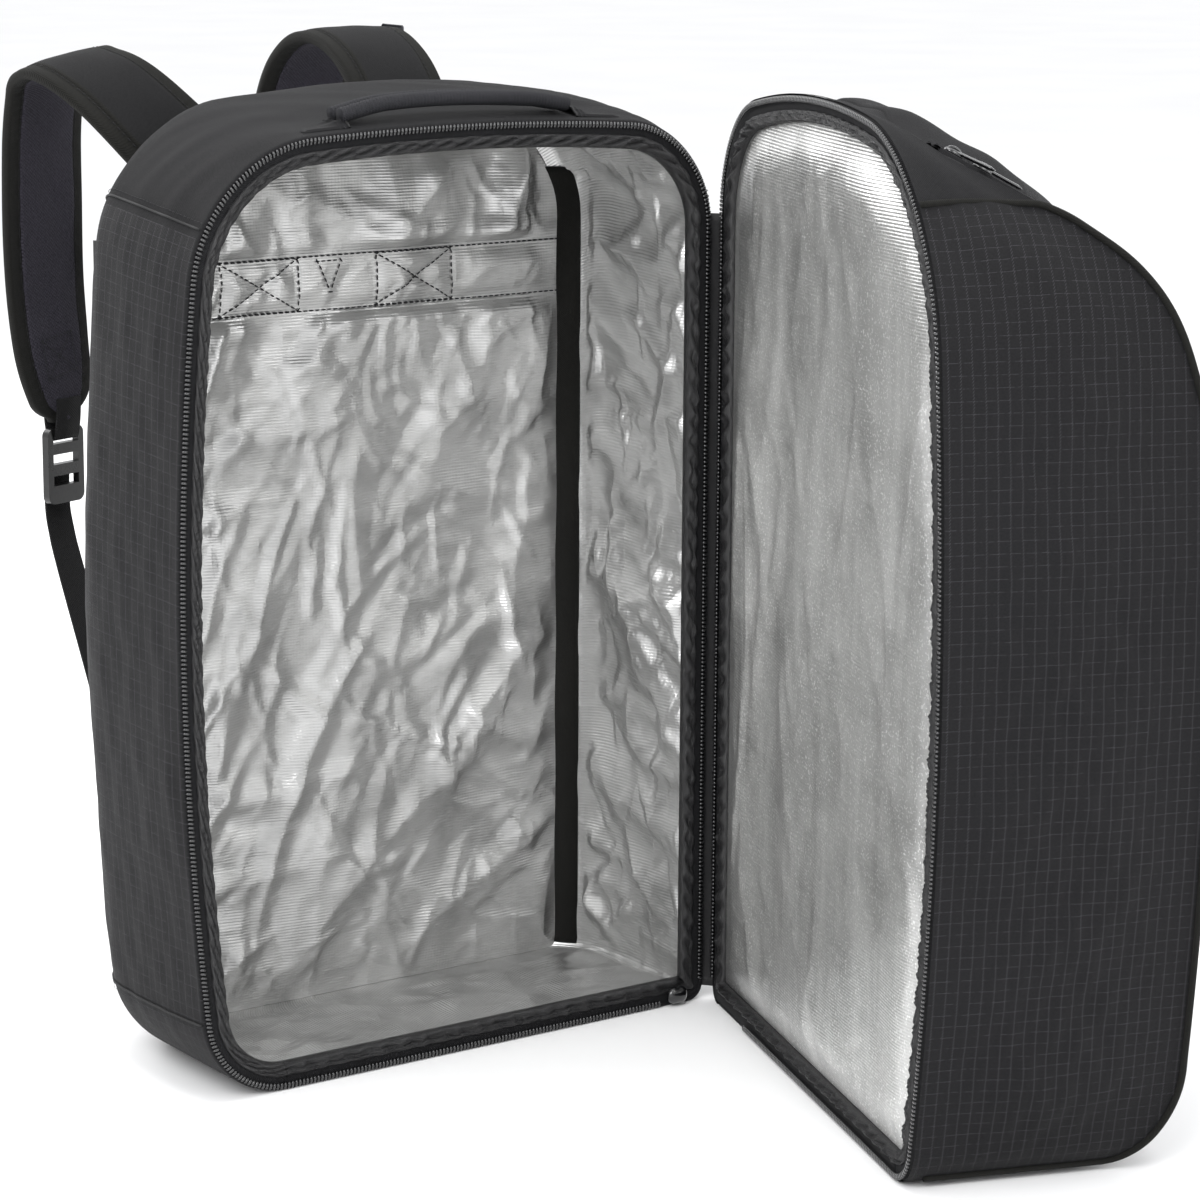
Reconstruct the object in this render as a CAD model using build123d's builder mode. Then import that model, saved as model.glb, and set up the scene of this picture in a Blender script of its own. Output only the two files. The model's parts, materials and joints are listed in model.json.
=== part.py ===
from build123d import *
from math import cos, sin, radians
import os

# Ski boot bag standing on its base, main door swung open about its right-hand edge.
# Millimetres, +Z up. Origin: centre of the underside of the main body.

WIDTH = 335.0          # opening width between the zip lines
HEIGHT = 520.0         # body height at the front rim
BODY_DEPTH = 136.0     # front rim to back panel
DOOR_DEPTH = 148.0     # door rim to front panel
DOOR_OPEN = 70.6       # door angle from closed, degrees
WALL = 3.0             # padded wall of the body
DOOR_WALL = 4.0        # padded wall of the door
FRONT = -BODY_DEPTH / 2
BACK = BODY_DEPTH / 2
HALF = WIDTH / 2
CLOSE_GAP = 1.0        # free gap between the two zip rims when shut

# Rounded, slightly bowed outline of the body rim
BODY_BOW = (17.0, 9.0)             # left side, top
BODY_R = (46.0, 10.0, 57.0, 69.0)  # bottom left, bottom right, top right, top left
BACK_RISE = 13.0                   # the top panel climbs towards the back

# The sides and top round in towards the back panel: (y, how far in)
TUCK = ((22.9, 0.0), (39.3, 2.9), (52.5, 10.2), (62.2, 20.5), (68.0, 31.6))

# Outline of the door rim, hinge side at local x = 0
DOOR_H = 527.0
DOOR_BOW = (28.0, 22.0)
DOOR_R = (22.0, 10.0, 57.0, 92.0)

# Door planes: face looks out of the door front, side looks out of its free side
a = radians(DOOR_OPEN)
TO_FREE = Vector(-cos(a), -sin(a), 0)
OUTWARD = Vector(sin(a), -cos(a), 0)
AXIS = Vector(HALF + 1.0, FRONT, 0)        # line the sewn hinge turns about
HINGE = AXIS + TO_FREE * 1.0              # hinge-side edge of the door rim
DOOR_FACE = Plane(origin=HINGE, x_dir=-TO_FREE, z_dir=OUTWARD)
DOOR_SIDE = Plane(origin=HINGE, x_dir=OUTWARD, z_dir=TO_FREE)
ZIP_RUN = Vector(-56, 30, 0).normalized()   # straight run of the pocket zip in (v, z)


def depth(y):
    # sketch plane parallel to the body rim at the given y, local y is world Z
    return Plane.XZ.offset(-y)


def outline(plane, x0, x1, z0, z1, bow, radii, inset):
    # rectangle bowed on the left and over the top, four corner radii, pulled in evenly by inset
    left, right, low, high = x0 + inset, x1 - inset, z0 + inset, z1 - inset
    mid_x, mid_z = (left + right) / 2, (low + high) / 2
    r = [max(v - inset, 1.0) for v in radii]
    with BuildSketch(plane, mode=Mode.PRIVATE) as face:
        with BuildLine():
            Polyline((left, low), (right, low), (right, high))
            ThreePointArc((right, high), (mid_x, high + bow[1]), (left, high))
            ThreePointArc((left, high), (left - bow[0], mid_z), (left, low))
        make_face()
        for corner, size in zip(((left, low), (right, low), (right, high), (left, high)), r):
            fillet(face.vertices().sort_by_distance(corner)[0], size)
    return face.sketch


def rim(y, inset, rise=0.0, tuck=0.0, drop=0.0):
    # drop carries the sides on below the floor, for a shape that is cut flat there
    bow = (BODY_BOW[0], BODY_BOW[1] + rise / 2)
    radii = (BODY_R[0] + drop, BODY_R[1] + drop, BODY_R[2], BODY_R[3])
    return outline(depth(y), tuck - HALF, HALF - tuck, -drop, HEIGHT + rise - tuck, bow, radii, inset)


def rise_at(y):
    return BACK_RISE * (y - FRONT) / BODY_DEPTH


def door_rim(v, inset):
    return outline(DOOR_FACE.offset(v), -WIDTH, 0, 0, DOOR_H, DOOR_BOW, DOOR_R, inset)


def tuck_at(y):
    for (y0, t0), (y1, t1) in zip(TUCK, TUCK[1:]):
        if y0 < y <= y1:
            return t0 + (t1 - t0) * (y - y0) / (y1 - y0)
    return 0.0


def body_tube(y0, y1, inset, drop=0.0):
    stations = [y0] + [y for y, _ in TUCK if y0 + 0.1 < y < y1 - 0.1] + [y1]
    faces = [rim(y, inset, rise_at(y), tuck_at(y), drop) for y in stations]
    return loft(faces, ruled=True, mode=Mode.PRIVATE)


def door_profile(inset, u):
    # side view of the door: flat base, upright front, long fall from the rim over the top
    curve = [(148, 330), (146, 372), (141, 408), (128, 450), (110, 477), (84, 497.5)]
    pts = []
    for i, (v, z) in enumerate(curve):
        p = curve[max(i - 1, 0)]
        q = curve[min(i + 1, len(curve) - 1)]
        t = Vector(q[0] - p[0], q[1] - p[1], 0).normalized()
        if i == 0:
            t = Vector(0, 1, 0)
        if i == len(curve) - 1:
            t = ZIP_RUN
        pts.append((v - t.Y * inset, z + t.X * inset))
    end = (28 - ZIP_RUN.Y * inset, 527.5 + ZIP_RUN.X * inset)
    front = DOOR_DEPTH - inset
    behind = -10.0 - inset
    below = -30.0 - inset
    toe = (92.0, inset - 3.0)
    with BuildSketch(DOOR_SIDE.offset(u), mode=Mode.PRIVATE) as face:
        with BuildLine():
            Polyline((behind, below), (toe[0], below), toe)
            ThreePointArc(toe, (131.5 - 0.6 * inset, 17.0 + 0.8 * inset), (front, 62.0))
            Line((front, 62.0), (front, 330))
            Spline(*pts, tangents=((0, 1), (ZIP_RUN.X, ZIP_RUN.Y)))
            Polyline(pts[-1], end, (behind, 560.5 - inset), (behind, below))
        make_face()
    return face.sketch


def door_tube(v0, v1, inset):
    return extrude(door_rim(v0, inset), amount=v1 - v0, mode=Mode.PRIVATE)


def door_prism(inset):
    return extrude(door_profile(inset, -40), amount=WIDTH + 120, mode=Mode.PRIVATE)


def box(x0, x1, y0, y1, z0, z1):
    return Pos((x0 + x1) / 2, (y0 + y1) / 2, (z0 + z1) / 2) * Box(x1 - x0, y1 - y0, z1 - z0, mode=Mode.PRIVATE)


def door_box(u0, u1, v0, v1, z0, z1):
    # block in door coordinates: u from hinge to free side, v outwards
    with BuildSketch(DOOR_FACE.offset(v0), mode=Mode.PRIVATE) as face:
        with Locations((-(u0 + u1) / 2, (z0 + z1) / 2)):
            Rectangle(abs(u1 - u0), z1 - z0)
    return extrude(face.sketch, amount=v1 - v0, mode=Mode.PRIVATE)


def save(name, label):
    name.part.label = label
    export_step(name.part, "parts/" + label + ".step")


# ---------------------------------------------------------------- body shell
SHELL_FRONT = FRONT + 4.0    # gusset starts behind the zip tape
SHELL_BACK = BACK - 1.6      # back panel closes the end
SIDE_LOW = 46.0
SIDE_HIGH = 478.0


def gusset(keep):
    with BuildPart() as panel:
        add(body_tube(SHELL_FRONT, SHELL_BACK, 0))
        add(body_tube(SHELL_FRONT, SHELL_BACK, WALL), mode=Mode.SUBTRACT)
        add(keep, mode=Mode.INTERSECT)
    return panel


def left_side_panel():
    panel = gusset(box(-200, -60, -80, 80, SIDE_LOW, SIDE_HIGH))
    save(panel, "left_side_panel")


def right_side_panel():
    panel = gusset(box(60, 200, -80, 80, SIDE_LOW, SIDE_HIGH))
    save(panel, "right_side_panel")


def top_panel():
    panel = gusset(box(-200, 200, -80, 80, SIDE_HIGH, 600))
    save(panel, "top_panel")


def base_panel():
    # cut flat at the floor, so the face that it stands on is a true plane
    with BuildPart() as panel:
        add(body_tube(SHELL_FRONT, SHELL_BACK, 0, drop=2.0))
        add(body_tube(SHELL_FRONT, SHELL_BACK, WALL), mode=Mode.SUBTRACT)
        add(box(-200, 200, -80, 80, 0, SIDE_LOW), mode=Mode.INTERSECT)
        add(box(-108, 140, -58, 58, 1.2, WALL), mode=Mode.SUBTRACT)
    save(panel, "base_panel")


def base_board():
    with BuildPart() as board:
        add(box(-108, 140, -58, 58, 1.2, WALL))
    save(board, "base_board")


def back_panel():
    with BuildPart() as panel:
        add(body_tube(SHELL_BACK, BACK, 0))
    save(panel, "back_panel")


def frame_sheet():
    with BuildPart() as sheet:
        add(body_tube(SHELL_BACK - 1.6, SHELL_BACK, 16))
    save(sheet, "frame_sheet")


def back_foam():
    with BuildPart() as foam:
        add(body_tube(60.6, SHELL_BACK, WALL))
        add(body_tube(SHELL_BACK - 1.6, SHELL_BACK, 16), mode=Mode.SUBTRACT)
    save(foam, "back_foam")


def lining_back():
    with BuildPart() as lining:
        add(body_tube(59.6, 60.6, WALL))
    save(lining, "lining_back")


def lining_walls():
    with BuildPart() as lining:
        add(body_tube(FRONT + 5.4, 59.6, WALL + 0.02))
        add(body_tube(FRONT + 5.4, 59.6, WALL + 1.0), mode=Mode.SUBTRACT)
    save(lining, "lining_walls")


def corner_binding(label, keep):
    with BuildPart() as binding:
        add(body_tube(56.0, 59.6, WALL + 1.0))
        add(body_tube(56.0, 59.6, WALL + 3.0), mode=Mode.SUBTRACT)
        add(keep, mode=Mode.INTERSECT)
    save(binding, label)


def back_piping():
    with BuildPart() as piping:
        add(body_tube(62.0, 66.0, -2.0))
        add(body_tube(62.0, 66.0, 0), mode=Mode.SUBTRACT)
        add(box(-220, 220, -80, 80, SIDE_LOW, 600), mode=Mode.INTERSECT)
    save(piping, "back_piping")


def rim_slab(y0, y1, inset, rise=0.0):
    return extrude(rim(y1, inset, rise), amount=y1 - y0, mode=Mode.PRIVATE)


def rim_ring(label, y0, y1, outer, inner):
    with BuildPart() as ring:
        add(rim_slab(y0, y1, outer))
        add(rim_slab(y0, y1, inner), mode=Mode.SUBTRACT)
    save(ring, label)


def body_zip():
    rim_ring("body_zip_facing", FRONT + 4.0, FRONT + 5.4, WALL + 0.1, 17.0)
    rim_ring("body_zip_tape", FRONT + 2.8, FRONT + 4.0, 0.4, 10.0)
    rim_ring("body_zip_teeth", FRONT + CLOSE_GAP / 2, FRONT + 2.8, 0.8, 4.6)


# ---------------------------------------------------------------- door shell
def door_skin(label, keep, bead=None):
    with BuildPart() as panel:
        add(door_tube(4.0, DOOR_DEPTH + 5, 0))
        add(door_tube(4.0, DOOR_DEPTH + 5, DOOR_WALL), mode=Mode.SUBTRACT)
        add(door_prism(0), mode=Mode.INTERSECT)
        add(keep, mode=Mode.INTERSECT)
        if bead:
            add(bead, mode=Mode.SUBTRACT)
    save(panel, label)


def door_front_panel():
    with BuildPart() as panel:
        add(door_prism(0))
        add(door_prism(DOOR_WALL), mode=Mode.SUBTRACT)
        add(door_tube(14.0, DOOR_DEPTH + 5, DOOR_WALL), mode=Mode.INTERSECT)
    save(panel, "door_front_panel")


def door_layer(label, v0, v1):
    with BuildPart() as layer:
        add(door_tube(v0, v1, DOOR_WALL))
        add(door_prism(0), mode=Mode.INTERSECT)
    save(layer, label)


def door_ring(label, v0, v1, outer, inner):
    # the ring stops short at the lower hinge corner, where the slider is parked
    with BuildPart() as ring:
        add(door_tube(v0, v1, outer))
        add(door_tube(v0, v1, inner), mode=Mode.SUBTRACT)
        if v0 < 4.0:
            add(door_box(-5, 64, v0 - 1, v1 + 1, -5, 16), mode=Mode.SUBTRACT)
    save(ring, label)


def door_zip():
    door_ring("door_zip_facing", 4.0, 5.4, DOOR_WALL, 17.0)
    door_ring("door_zip_tape", 2.8, 4.0, 0.4, 10.0)
    door_ring("door_zip_teeth", CLOSE_GAP / 2, 2.8, 0.8, 4.6)



def bead_part(label, u0, u1):
    # square-section piping along the edge between a door side and the front wrap
    with BuildPart() as bead:
        add(door_bead(u0, u1))
    save(bead, label)


def door_bead(u0, u1):
    corner = door_tube(20.0, DOOR_DEPTH + 5, -1.2) & door_prism(-1.2) & door_box(u0, u1, 20, 160, 40, 496)
    return corner - door_tube(15.0, DOOR_DEPTH + 10, 2.6) - door_prism(2.6)


# ---------------------------------------------------------------- pocket zip
ZIP_U = 262.0     # distance of the pocket zip from the hinge
ZIP_START = (28.0, 527.5)
UPPER_AT = 12.0     # sliders, measured down the straight run
LOWER_AT = 30.0


def zip_plane(along, height):
    # plane lying on the straight run of the pocket zip, x towards the front, z off the fabric
    v = ZIP_START[0] - ZIP_RUN.X * along
    z = ZIP_START[1] - ZIP_RUN.Y * along
    run = OUTWARD * -ZIP_RUN.X + Vector(0, 0, -ZIP_RUN.Y)
    off = OUTWARD * ZIP_RUN.Y + Vector(0, 0, -ZIP_RUN.X)
    spot = HINGE + TO_FREE * ZIP_U + OUTWARD * v + Vector(0, 0, z)
    return Plane(origin=spot + off * height, x_dir=run, z_dir=off)


def pocket_strip(label, low, high, half, v0, v1):
    with BuildPart() as strip:
        add(door_prism(-high))
        add(door_prism(-low), mode=Mode.SUBTRACT)
        add(door_box(ZIP_U - half, ZIP_U + half, v0, v1, 300, 600), mode=Mode.INTERSECT)
    save(strip, label)


def slab(plane, length, width, height, x=0.0, y=0.0):
    with BuildSketch(plane, mode=Mode.PRIVATE) as face:
        with Locations((x, y)):
            Rectangle(length, width)
    return extrude(face.sketch, amount=height, mode=Mode.PRIVATE)


def bar_plane(along, yaw):
    # origin on the pull bar, x the way the pull lies, z along the bar
    base = zip_plane(along, 7.0)
    y = radians(yaw)
    lie = base.x_dir * cos(y) + TO_FREE * sin(y)
    bar = TO_FREE * cos(y) - base.x_dir * sin(y)
    return Plane(origin=base.origin, x_dir=lie, z_dir=bar)


def pocket_slider(label, along, yaw):
    lie = bar_plane(along, yaw)
    with BuildPart() as slider:
        add(slab(zip_plane(along, 1.2), 9.0, 10.0, 3.4))
        add(slab(zip_plane(along, 1.1), 10.0, 6.8, 2.1), mode=Mode.SUBTRACT)
        for side in (-1, 1):
            add(slab(lie.offset(side * 3.4 - 0.7), 2.0, 3.4, 1.4, y=-0.9))
        with BuildSketch(lie):
            Circle(0.8)
        extrude(amount=4.2, both=True)
    save(slider, label)


def pocket_pull(label, along, yaw, droop):
    # tab with an eye round the slider's bar, drooping onto the fabric
    lie = bar_plane(along, yaw)
    with BuildPart() as pull:
        with BuildSketch(lie):
            Circle(2.2)
            with Locations((13.0 * cos(radians(droop)), -13.0 * sin(radians(droop)))):
                Rectangle(24.0, 2.0, rotation=-droop)
            Circle(1.2, mode=Mode.SUBTRACT)
        extrude(amount=2.4, both=True)
    save(pull, label)


# ---------------------------------------------------------------- shoulder straps
# centre line (x, y, z), width heading, width tilt, width
LEFT_STRAP = [
    (-57, 77, 412, 0, 0, 60), (-58, 76.5, 432, 0, 4, 62), (-66, 78, 462, 2, 14, 64),
    (-84, 84, 494, 6, 22, 64), (-104, 98, 521, 12, 26, 63), (-118, 118, 541, 17, 22, 63),
    (-126, 140, 551, 21, 14, 64), (-128, 160, 552, 23, 7, 66), (-127, 180, 541, 23, 2, 66),
    (-124, 195, 512, 21, 0, 66), (-120, 205, 466, 19, 0, 66), (-116, 212, 422, 18, 0, 64),
    (-111, 216, 385, 18, 0, 62), (-106, 218, 360, 18, 0, 56), (-103, 219, 337, 18, 0, 40)]
RIGHT_STRAP = [
    (57, 77, 412, 0, 1, 60), (57.2, 76.5, 432, 0, 1, 62), (57.6, 77.5, 466, 1, 2, 66),
    (58, 83, 502, 1, 2, 66), (58.2, 97, 533, 1, 2, 66), (58.4, 118, 553, 0, 1, 66),
    (58, 144, 563, -1, 1, 66), (57.6, 170, 559, -2, 0, 66), (57.6, 193, 541, -4, 0, 66),
    (58.4, 208, 510, -7, 0, 66), (61, 214, 466, -10, 0, 66), (65, 216, 422, -14, 0, 64),
    (70, 218, 385, -16, 0, 62), (74, 219, 360, -18, 0, 56), (76, 220, 337, -18, 0, 40)]
LEFT_WEB = [(-104.4, 224.4, 309), (-104.7, 224.8, 285), (-105.4, 219, 269), (-106.8, 206, 249),
            (-112, 160, 190), (-115, 105, 105), (-112, 73, 52)]
RIGHT_WEB = [(77.4, 225.4, 309), (77.8, 225.8, 285), (79, 220, 269), (82, 207, 249),
             (94, 160, 190), (104, 105, 105), (108, 73, 52)]


def strap_section(line, i, offset, thick):
    x, y, z, turn, tilt, width = line[i]
    p = Vector(*line[max(i - 1, 0)][:3])
    q = Vector(*line[min(i + 1, len(line) - 1)][:3])
    run = (q - p).normalized()
    t, e = radians(turn), radians(tilt)
    across = Vector(cos(e) * cos(t), cos(e) * sin(t), sin(e))
    across = (across - run * across.dot(run)).normalized()
    flat = Plane(origin=(x, y, z), x_dir=across, z_dir=run)
    with BuildSketch(flat, mode=Mode.PRIVATE) as face:
        with Locations((0, offset)):
            Rectangle(width, thick)
    return face.sketch


def strap_layer(label, line, offset, thick):
    with BuildPart() as layer:
        for first, last in ((0, 4), (4, 8), (8, len(line) - 1)):
            rows = [strap_section(line, i, offset, thick) for i in range(first, last + 1)]
            loft(rows, ruled=True, clean=False)
    save(layer, label)


def straps():
    for side, line in (("left", LEFT_STRAP), ("right", RIGHT_STRAP)):
        strap_layer("strap_mesh_" + side, line, 4.0, 2.0)
        strap_layer("strap_foam_" + side, line, 0.0, 6.0)
        strap_layer("strap_fabric_" + side, line, -4.0, 2.0)


def anchor_band():
    with BuildPart() as band:
        add(box(-118, 118, BACK, BACK + 2.2, 396, 420))
    save(band, "strap_anchor_band")


def ladder_lock(label, x, y, turn):
    # two-bar adjuster hung under the strap tip
    with BuildPart() as lock:
        with BuildSketch(Plane.XZ) as frame:
            with Locations((0, -20)):
                Rectangle(30, 46)
            fillet(frame.vertices(), 5)
            for z, high in ((-4, 5.0), (-16, 6.0), (-29, 6.0)):
                with Locations((0, z)):
                    Rectangle(21, high, mode=Mode.SUBTRACT)
        extrude(amount=2.4, both=True)
    lock.part.position = (x, y, 329)
    lock.part.orientation = (0, 0, turn)
    save(lock, label)


def webbing(label, points, width, thick, heading):
    t = radians(heading)
    sections = []
    for i, p in enumerate(points):
        before = Vector(*points[max(i - 1, 0)])
        after = Vector(*points[min(i + 1, len(points) - 1)])
        run = (after - before).normalized()
        across = Vector(cos(t), sin(t), 0)
        across = (across - run * across.dot(run)).normalized()
        with BuildSketch(Plane(origin=p, x_dir=across, z_dir=run)) as face:
            Rectangle(width, thick)
        sections.append(face.sketch)
    with BuildPart() as strip:
        loft(sections, ruled=True, clean=False)
    save(strip, label)


def lower_tabs():
    # triangular tabs sewn to the back panel near the base
    with BuildPart() as tabs:
        for mid in (-112, 108):
            with BuildSketch(depth(BACK + 2.0)):
                with BuildLine():
                    Polyline((mid - 24, 34), (mid + 24, 34), (mid + 10, 66), (mid - 10, 66), close=True)
                make_face()
            extrude(amount=2.0)
    save(tabs, "lower_tabs")


# ---------------------------------------------------------------- grab handle
HANDLE_X = (-70.0, 76.0)
HANDLE_Y = -48.0
HANDLE_Z = 536.6


def handle_cord(label, y):
    mid = (HANDLE_X[0] + HANDLE_X[1]) / 2
    with BuildPart() as cord:
        with BuildLine() as path:
            ThreePointArc((HANDLE_X[0], y, HANDLE_Z), (mid, y, HANDLE_Z + 5.5), (HANDLE_X[1], y, HANDLE_Z))
        with BuildSketch(Plane(origin=path.line @ 0, z_dir=path.line % 0)):
            Circle(4.0)
        sweep()
    save(cord, label)


def handle_anchors():
    # sewn patches following the crown of the top panel
    with BuildPart() as patches:
        add(rim_slab(-58, -38, -1.2, rise_at(-38)))
        add(body_tube(-60, -36, 0), mode=Mode.SUBTRACT)
        add([box(-98, -76, -80, 0, 500, 560), box(82, 104, -80, 0, 500, 560)], mode=Mode.INTERSECT)
    save(patches, "handle_anchors")


def main_slider():
    # slider parked at the lower hinge end of the main zip, gripping the body coil
    with BuildPart() as slider:
        add(box(139, 153, FRONT - 2.6, FRONT + 0.1, 0.8, 12.0))
        add(box(140, 152, FRONT + 0.1, FRONT + 2.3, 5.0, 11.0))
    save(slider, "main_slider")


def sternum():
    z = 430.0
    with BuildPart() as piece:
        add(box(-83, -78, 205, 213, z - 13, z + 13))
        add(box(-78, -72, 206, 212, z - 11, z + 11))
    save(piece, "sternum_slider_left")
    with BuildPart() as piece:
        add(box(-72, -36, 208, 209.8, z - 9, z + 9))
    save(piece, "sternum_webbing_left")
    with BuildPart() as piece:
        add(box(-36, -12, 205, 213, z - 12, z + 12))
        add(box(-30, -11.9, 207, 211, z - 9, z + 9), mode=Mode.SUBTRACT)
    save(piece, "sternum_buckle_female")
    with BuildPart() as piece:
        add(box(-11.6, -3, 205, 213, z - 12, z + 12))
        for side in (-1, 1):
            add(box(-26, -11.6, 207.4, 210.6, z + side * 6 - 2, z + side * 6 + 2))
    save(piece, "sternum_buckle_male")
    with BuildPart() as piece:
        add(box(-3, 14, 208, 209.8, z - 9, z + 9))
    save(piece, "sternum_webbing_right")
    with BuildPart() as piece:
        add(box(14, 20, 206, 212, z - 13, z + 13))
    save(piece, "sternum_slider_right")


def label_tab():
    # blank woven loop sewn into the edge of the right strap
    with BuildPart() as tab:
        with BuildSketch(Plane.YZ.offset(93.0)) as face:
            with Locations((158, 560)):
                Rectangle(24, 16)
        extrude(amount=1.4)
    save(tab, "label_tab")


def hinge_seam():
    # seam line of the sewn fabric hinge, on the axis the door turns about
    with BuildPart() as seam:
        with BuildSketch(Plane.XY.offset(14)):
            with Locations((AXIS.X, AXIS.Y)):
                Circle(0.45)
        extrude(amount=450)
    save(seam, "hinge_seam")


if __name__ == "__main__":
    os.makedirs("parts", exist_ok=True)
    left_side_panel()
    right_side_panel()
    top_panel()
    base_panel()
    base_board()
    back_panel()
    frame_sheet()
    back_foam()
    lining_back()
    lining_walls()
    corner_binding("corner_binding_left", box(-220, -60, -80, 80, 60, 460))
    corner_binding("corner_binding_right", box(60, 220, -80, 80, 60, 460))
    back_piping()
    body_zip()
    door_skin("door_free_side_panel", door_box(255, 380, 0, 160, 30, 600), door_bead(200, 380))
    door_skin("door_top_panel", door_box(70, 255, 0, 160, 300, 600))
    door_skin("door_hinge_side_panel", door_box(-20, 70, 0, 160, 30, 600), door_bead(-20, 100))
    door_skin("door_base_panel", door_box(-20, 380, 0, 160, -5, 30))
    door_front_panel()
    door_layer("door_lining", 5.4, 6.4)
    door_layer("door_divider_foam", 6.4, 11.4)
    door_layer("door_pocket_lining", 11.4, 12.4)
    door_zip()
    bead_part("door_piping_free", 200, 380)
    bead_part("door_piping_hinge", -20, 100)
    pocket_strip("pocket_zip_tape", 0.0, 0.8, 12.0, 32, 130)
    pocket_strip("pocket_zip_teeth", 0.8, 2.6, 3.0, 34, 128)
    pocket_slider("pocket_slider_upper", UPPER_AT, 42)
    pocket_slider("pocket_slider_lower", LOWER_AT, 0)
    pocket_pull("pocket_pull_upper", UPPER_AT, 42, 9)
    pocket_pull("pocket_pull_lower", LOWER_AT, 0, 5)
    straps()
    anchor_band()
    ladder_lock("ladder_lock_left", -103, 219, 18)
    ladder_lock("ladder_lock_right", 76, 220, -18)
    webbing("lower_webbing_left", LEFT_WEB, 20, 1.8, 18)
    webbing("lower_webbing_right", RIGHT_WEB, 20, 1.8, -18)
    lower_tabs()
    handle_cord("handle_cord_front", HANDLE_Y - 4.6)
    handle_cord("handle_cord_back", HANDLE_Y + 4.6)
    handle_anchors()
    main_slider()
    sternum()
    label_tab()
    hinge_seam()
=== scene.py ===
import json
import math
import bpy
import numpy as np
from mathutils import Matrix, Vector


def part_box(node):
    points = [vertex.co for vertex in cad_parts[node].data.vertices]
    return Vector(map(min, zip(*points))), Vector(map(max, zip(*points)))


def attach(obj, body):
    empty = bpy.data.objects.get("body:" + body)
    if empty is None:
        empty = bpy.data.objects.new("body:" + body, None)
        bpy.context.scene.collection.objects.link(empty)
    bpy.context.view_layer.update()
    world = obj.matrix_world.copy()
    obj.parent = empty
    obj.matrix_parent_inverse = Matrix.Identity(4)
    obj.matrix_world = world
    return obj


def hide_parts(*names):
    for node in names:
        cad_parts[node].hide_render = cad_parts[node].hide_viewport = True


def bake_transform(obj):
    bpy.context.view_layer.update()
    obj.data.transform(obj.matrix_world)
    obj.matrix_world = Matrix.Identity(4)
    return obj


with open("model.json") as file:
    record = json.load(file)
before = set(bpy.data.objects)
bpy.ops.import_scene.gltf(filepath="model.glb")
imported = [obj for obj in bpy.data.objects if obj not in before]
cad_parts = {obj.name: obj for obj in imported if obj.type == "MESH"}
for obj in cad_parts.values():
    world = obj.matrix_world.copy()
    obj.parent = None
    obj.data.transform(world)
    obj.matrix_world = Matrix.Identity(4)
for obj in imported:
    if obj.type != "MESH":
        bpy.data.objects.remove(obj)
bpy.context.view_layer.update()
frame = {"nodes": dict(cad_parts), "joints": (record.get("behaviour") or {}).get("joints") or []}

RNG = np.random.default_rng(7)

# ------------------------------------------------------------------ sizes read from the frame
lo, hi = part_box("back_panel")
BACK = hi[1]
tape_lo, tape_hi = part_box("body_zip_teeth")
FRONT = tape_lo[1] - 0.0005
DEPTH = BACK - FRONT
WIDTH, HEIGHT, RISE = 0.335, 0.520, 0.013
BODY = dict(w=WIDTH, h=HEIGHT, left=0.017, top=0.009, r=(0.046, 0.010, 0.057, 0.069))
DOOR = dict(w=WIDTH, h=0.527, left=0.028, top=0.022, r=(0.022, 0.010, 0.057, 0.092))
hinge_joint = [j for j in frame["joints"] if j["name"] == "door_hinge"][0]
OPEN = math.radians(70.6)
AXIS = np.array([hinge_joint["pos_m"][0], hinge_joint["pos_m"][1], 0.0])
U = np.array([-math.cos(OPEN), -math.sin(OPEN), 0.0])   # hinge side to free side
V = np.array([math.sin(OPEN), -math.cos(OPEN), 0.0])    # out of the door front
Z = np.array([0.0, 0.0, 1.0])
HINGE = AXIS + U * 0.001
SIDES = (60, 150, 90, 170)      # samples along base, right, top, left
CORNER = 22
PI = math.pi


# ------------------------------------------------------------------ small maths
def smooth(a, b, x):
    t = np.clip((x - a) / (b - a), 0.0, 1.0)
    return t * t * (3 - 2 * t)


def waves(x, y, seed, length, count=9, stretch=(1.0, 1.0)):
    # smooth pseudo-random field of about unit size with features near the given length
    r = np.random.default_rng(seed)
    out = np.zeros(np.broadcast(x, y).shape)
    for _ in range(count):
        ang = r.uniform(0, 2 * PI)
        k = 2 * PI / (length * r.uniform(0.7, 1.6))
        out = out + np.sin(k * (x * math.cos(ang) * stretch[0] + y * math.sin(ang) * stretch[1]) + r.uniform(0, 2 * PI))
    return out / math.sqrt(count / 2.0)


def creases(x, z, seed, box_, count, length, width, amp, heading=None):
    # sum of straight sharp folds scattered over a sheet, as in stiff foil-backed cloth
    r = np.random.default_rng(seed)
    out = np.zeros(np.broadcast(x, z).shape)
    for _ in range(count):
        cx, cz = r.uniform(box_[0], box_[1]), r.uniform(box_[2], box_[3])
        t = r.uniform(0, PI) if heading is None else r.normal(heading, 0.35)
        L, w, a = length * r.uniform(0.5, 1.5), width * r.uniform(0.5, 1.6), amp * r.uniform(0.3, 1.0)
        p = (x - cx) * math.cos(t) + (z - cz) * math.sin(t)
        q = (z - cz) * math.cos(t) - (x - cx) * math.sin(t)
        q = q + 0.12 * p * p / L
        body_ = np.clip(1 - (p / L) ** 2, 0, 1) ** 1.5
        out = out + a * body_ * np.maximum(0, 1 - np.abs(q) / (w * (0.4 + 0.6 * body_))) ** 1.3 * (1 if r.random() < 0.75 else -0.6)
    return out


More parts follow.
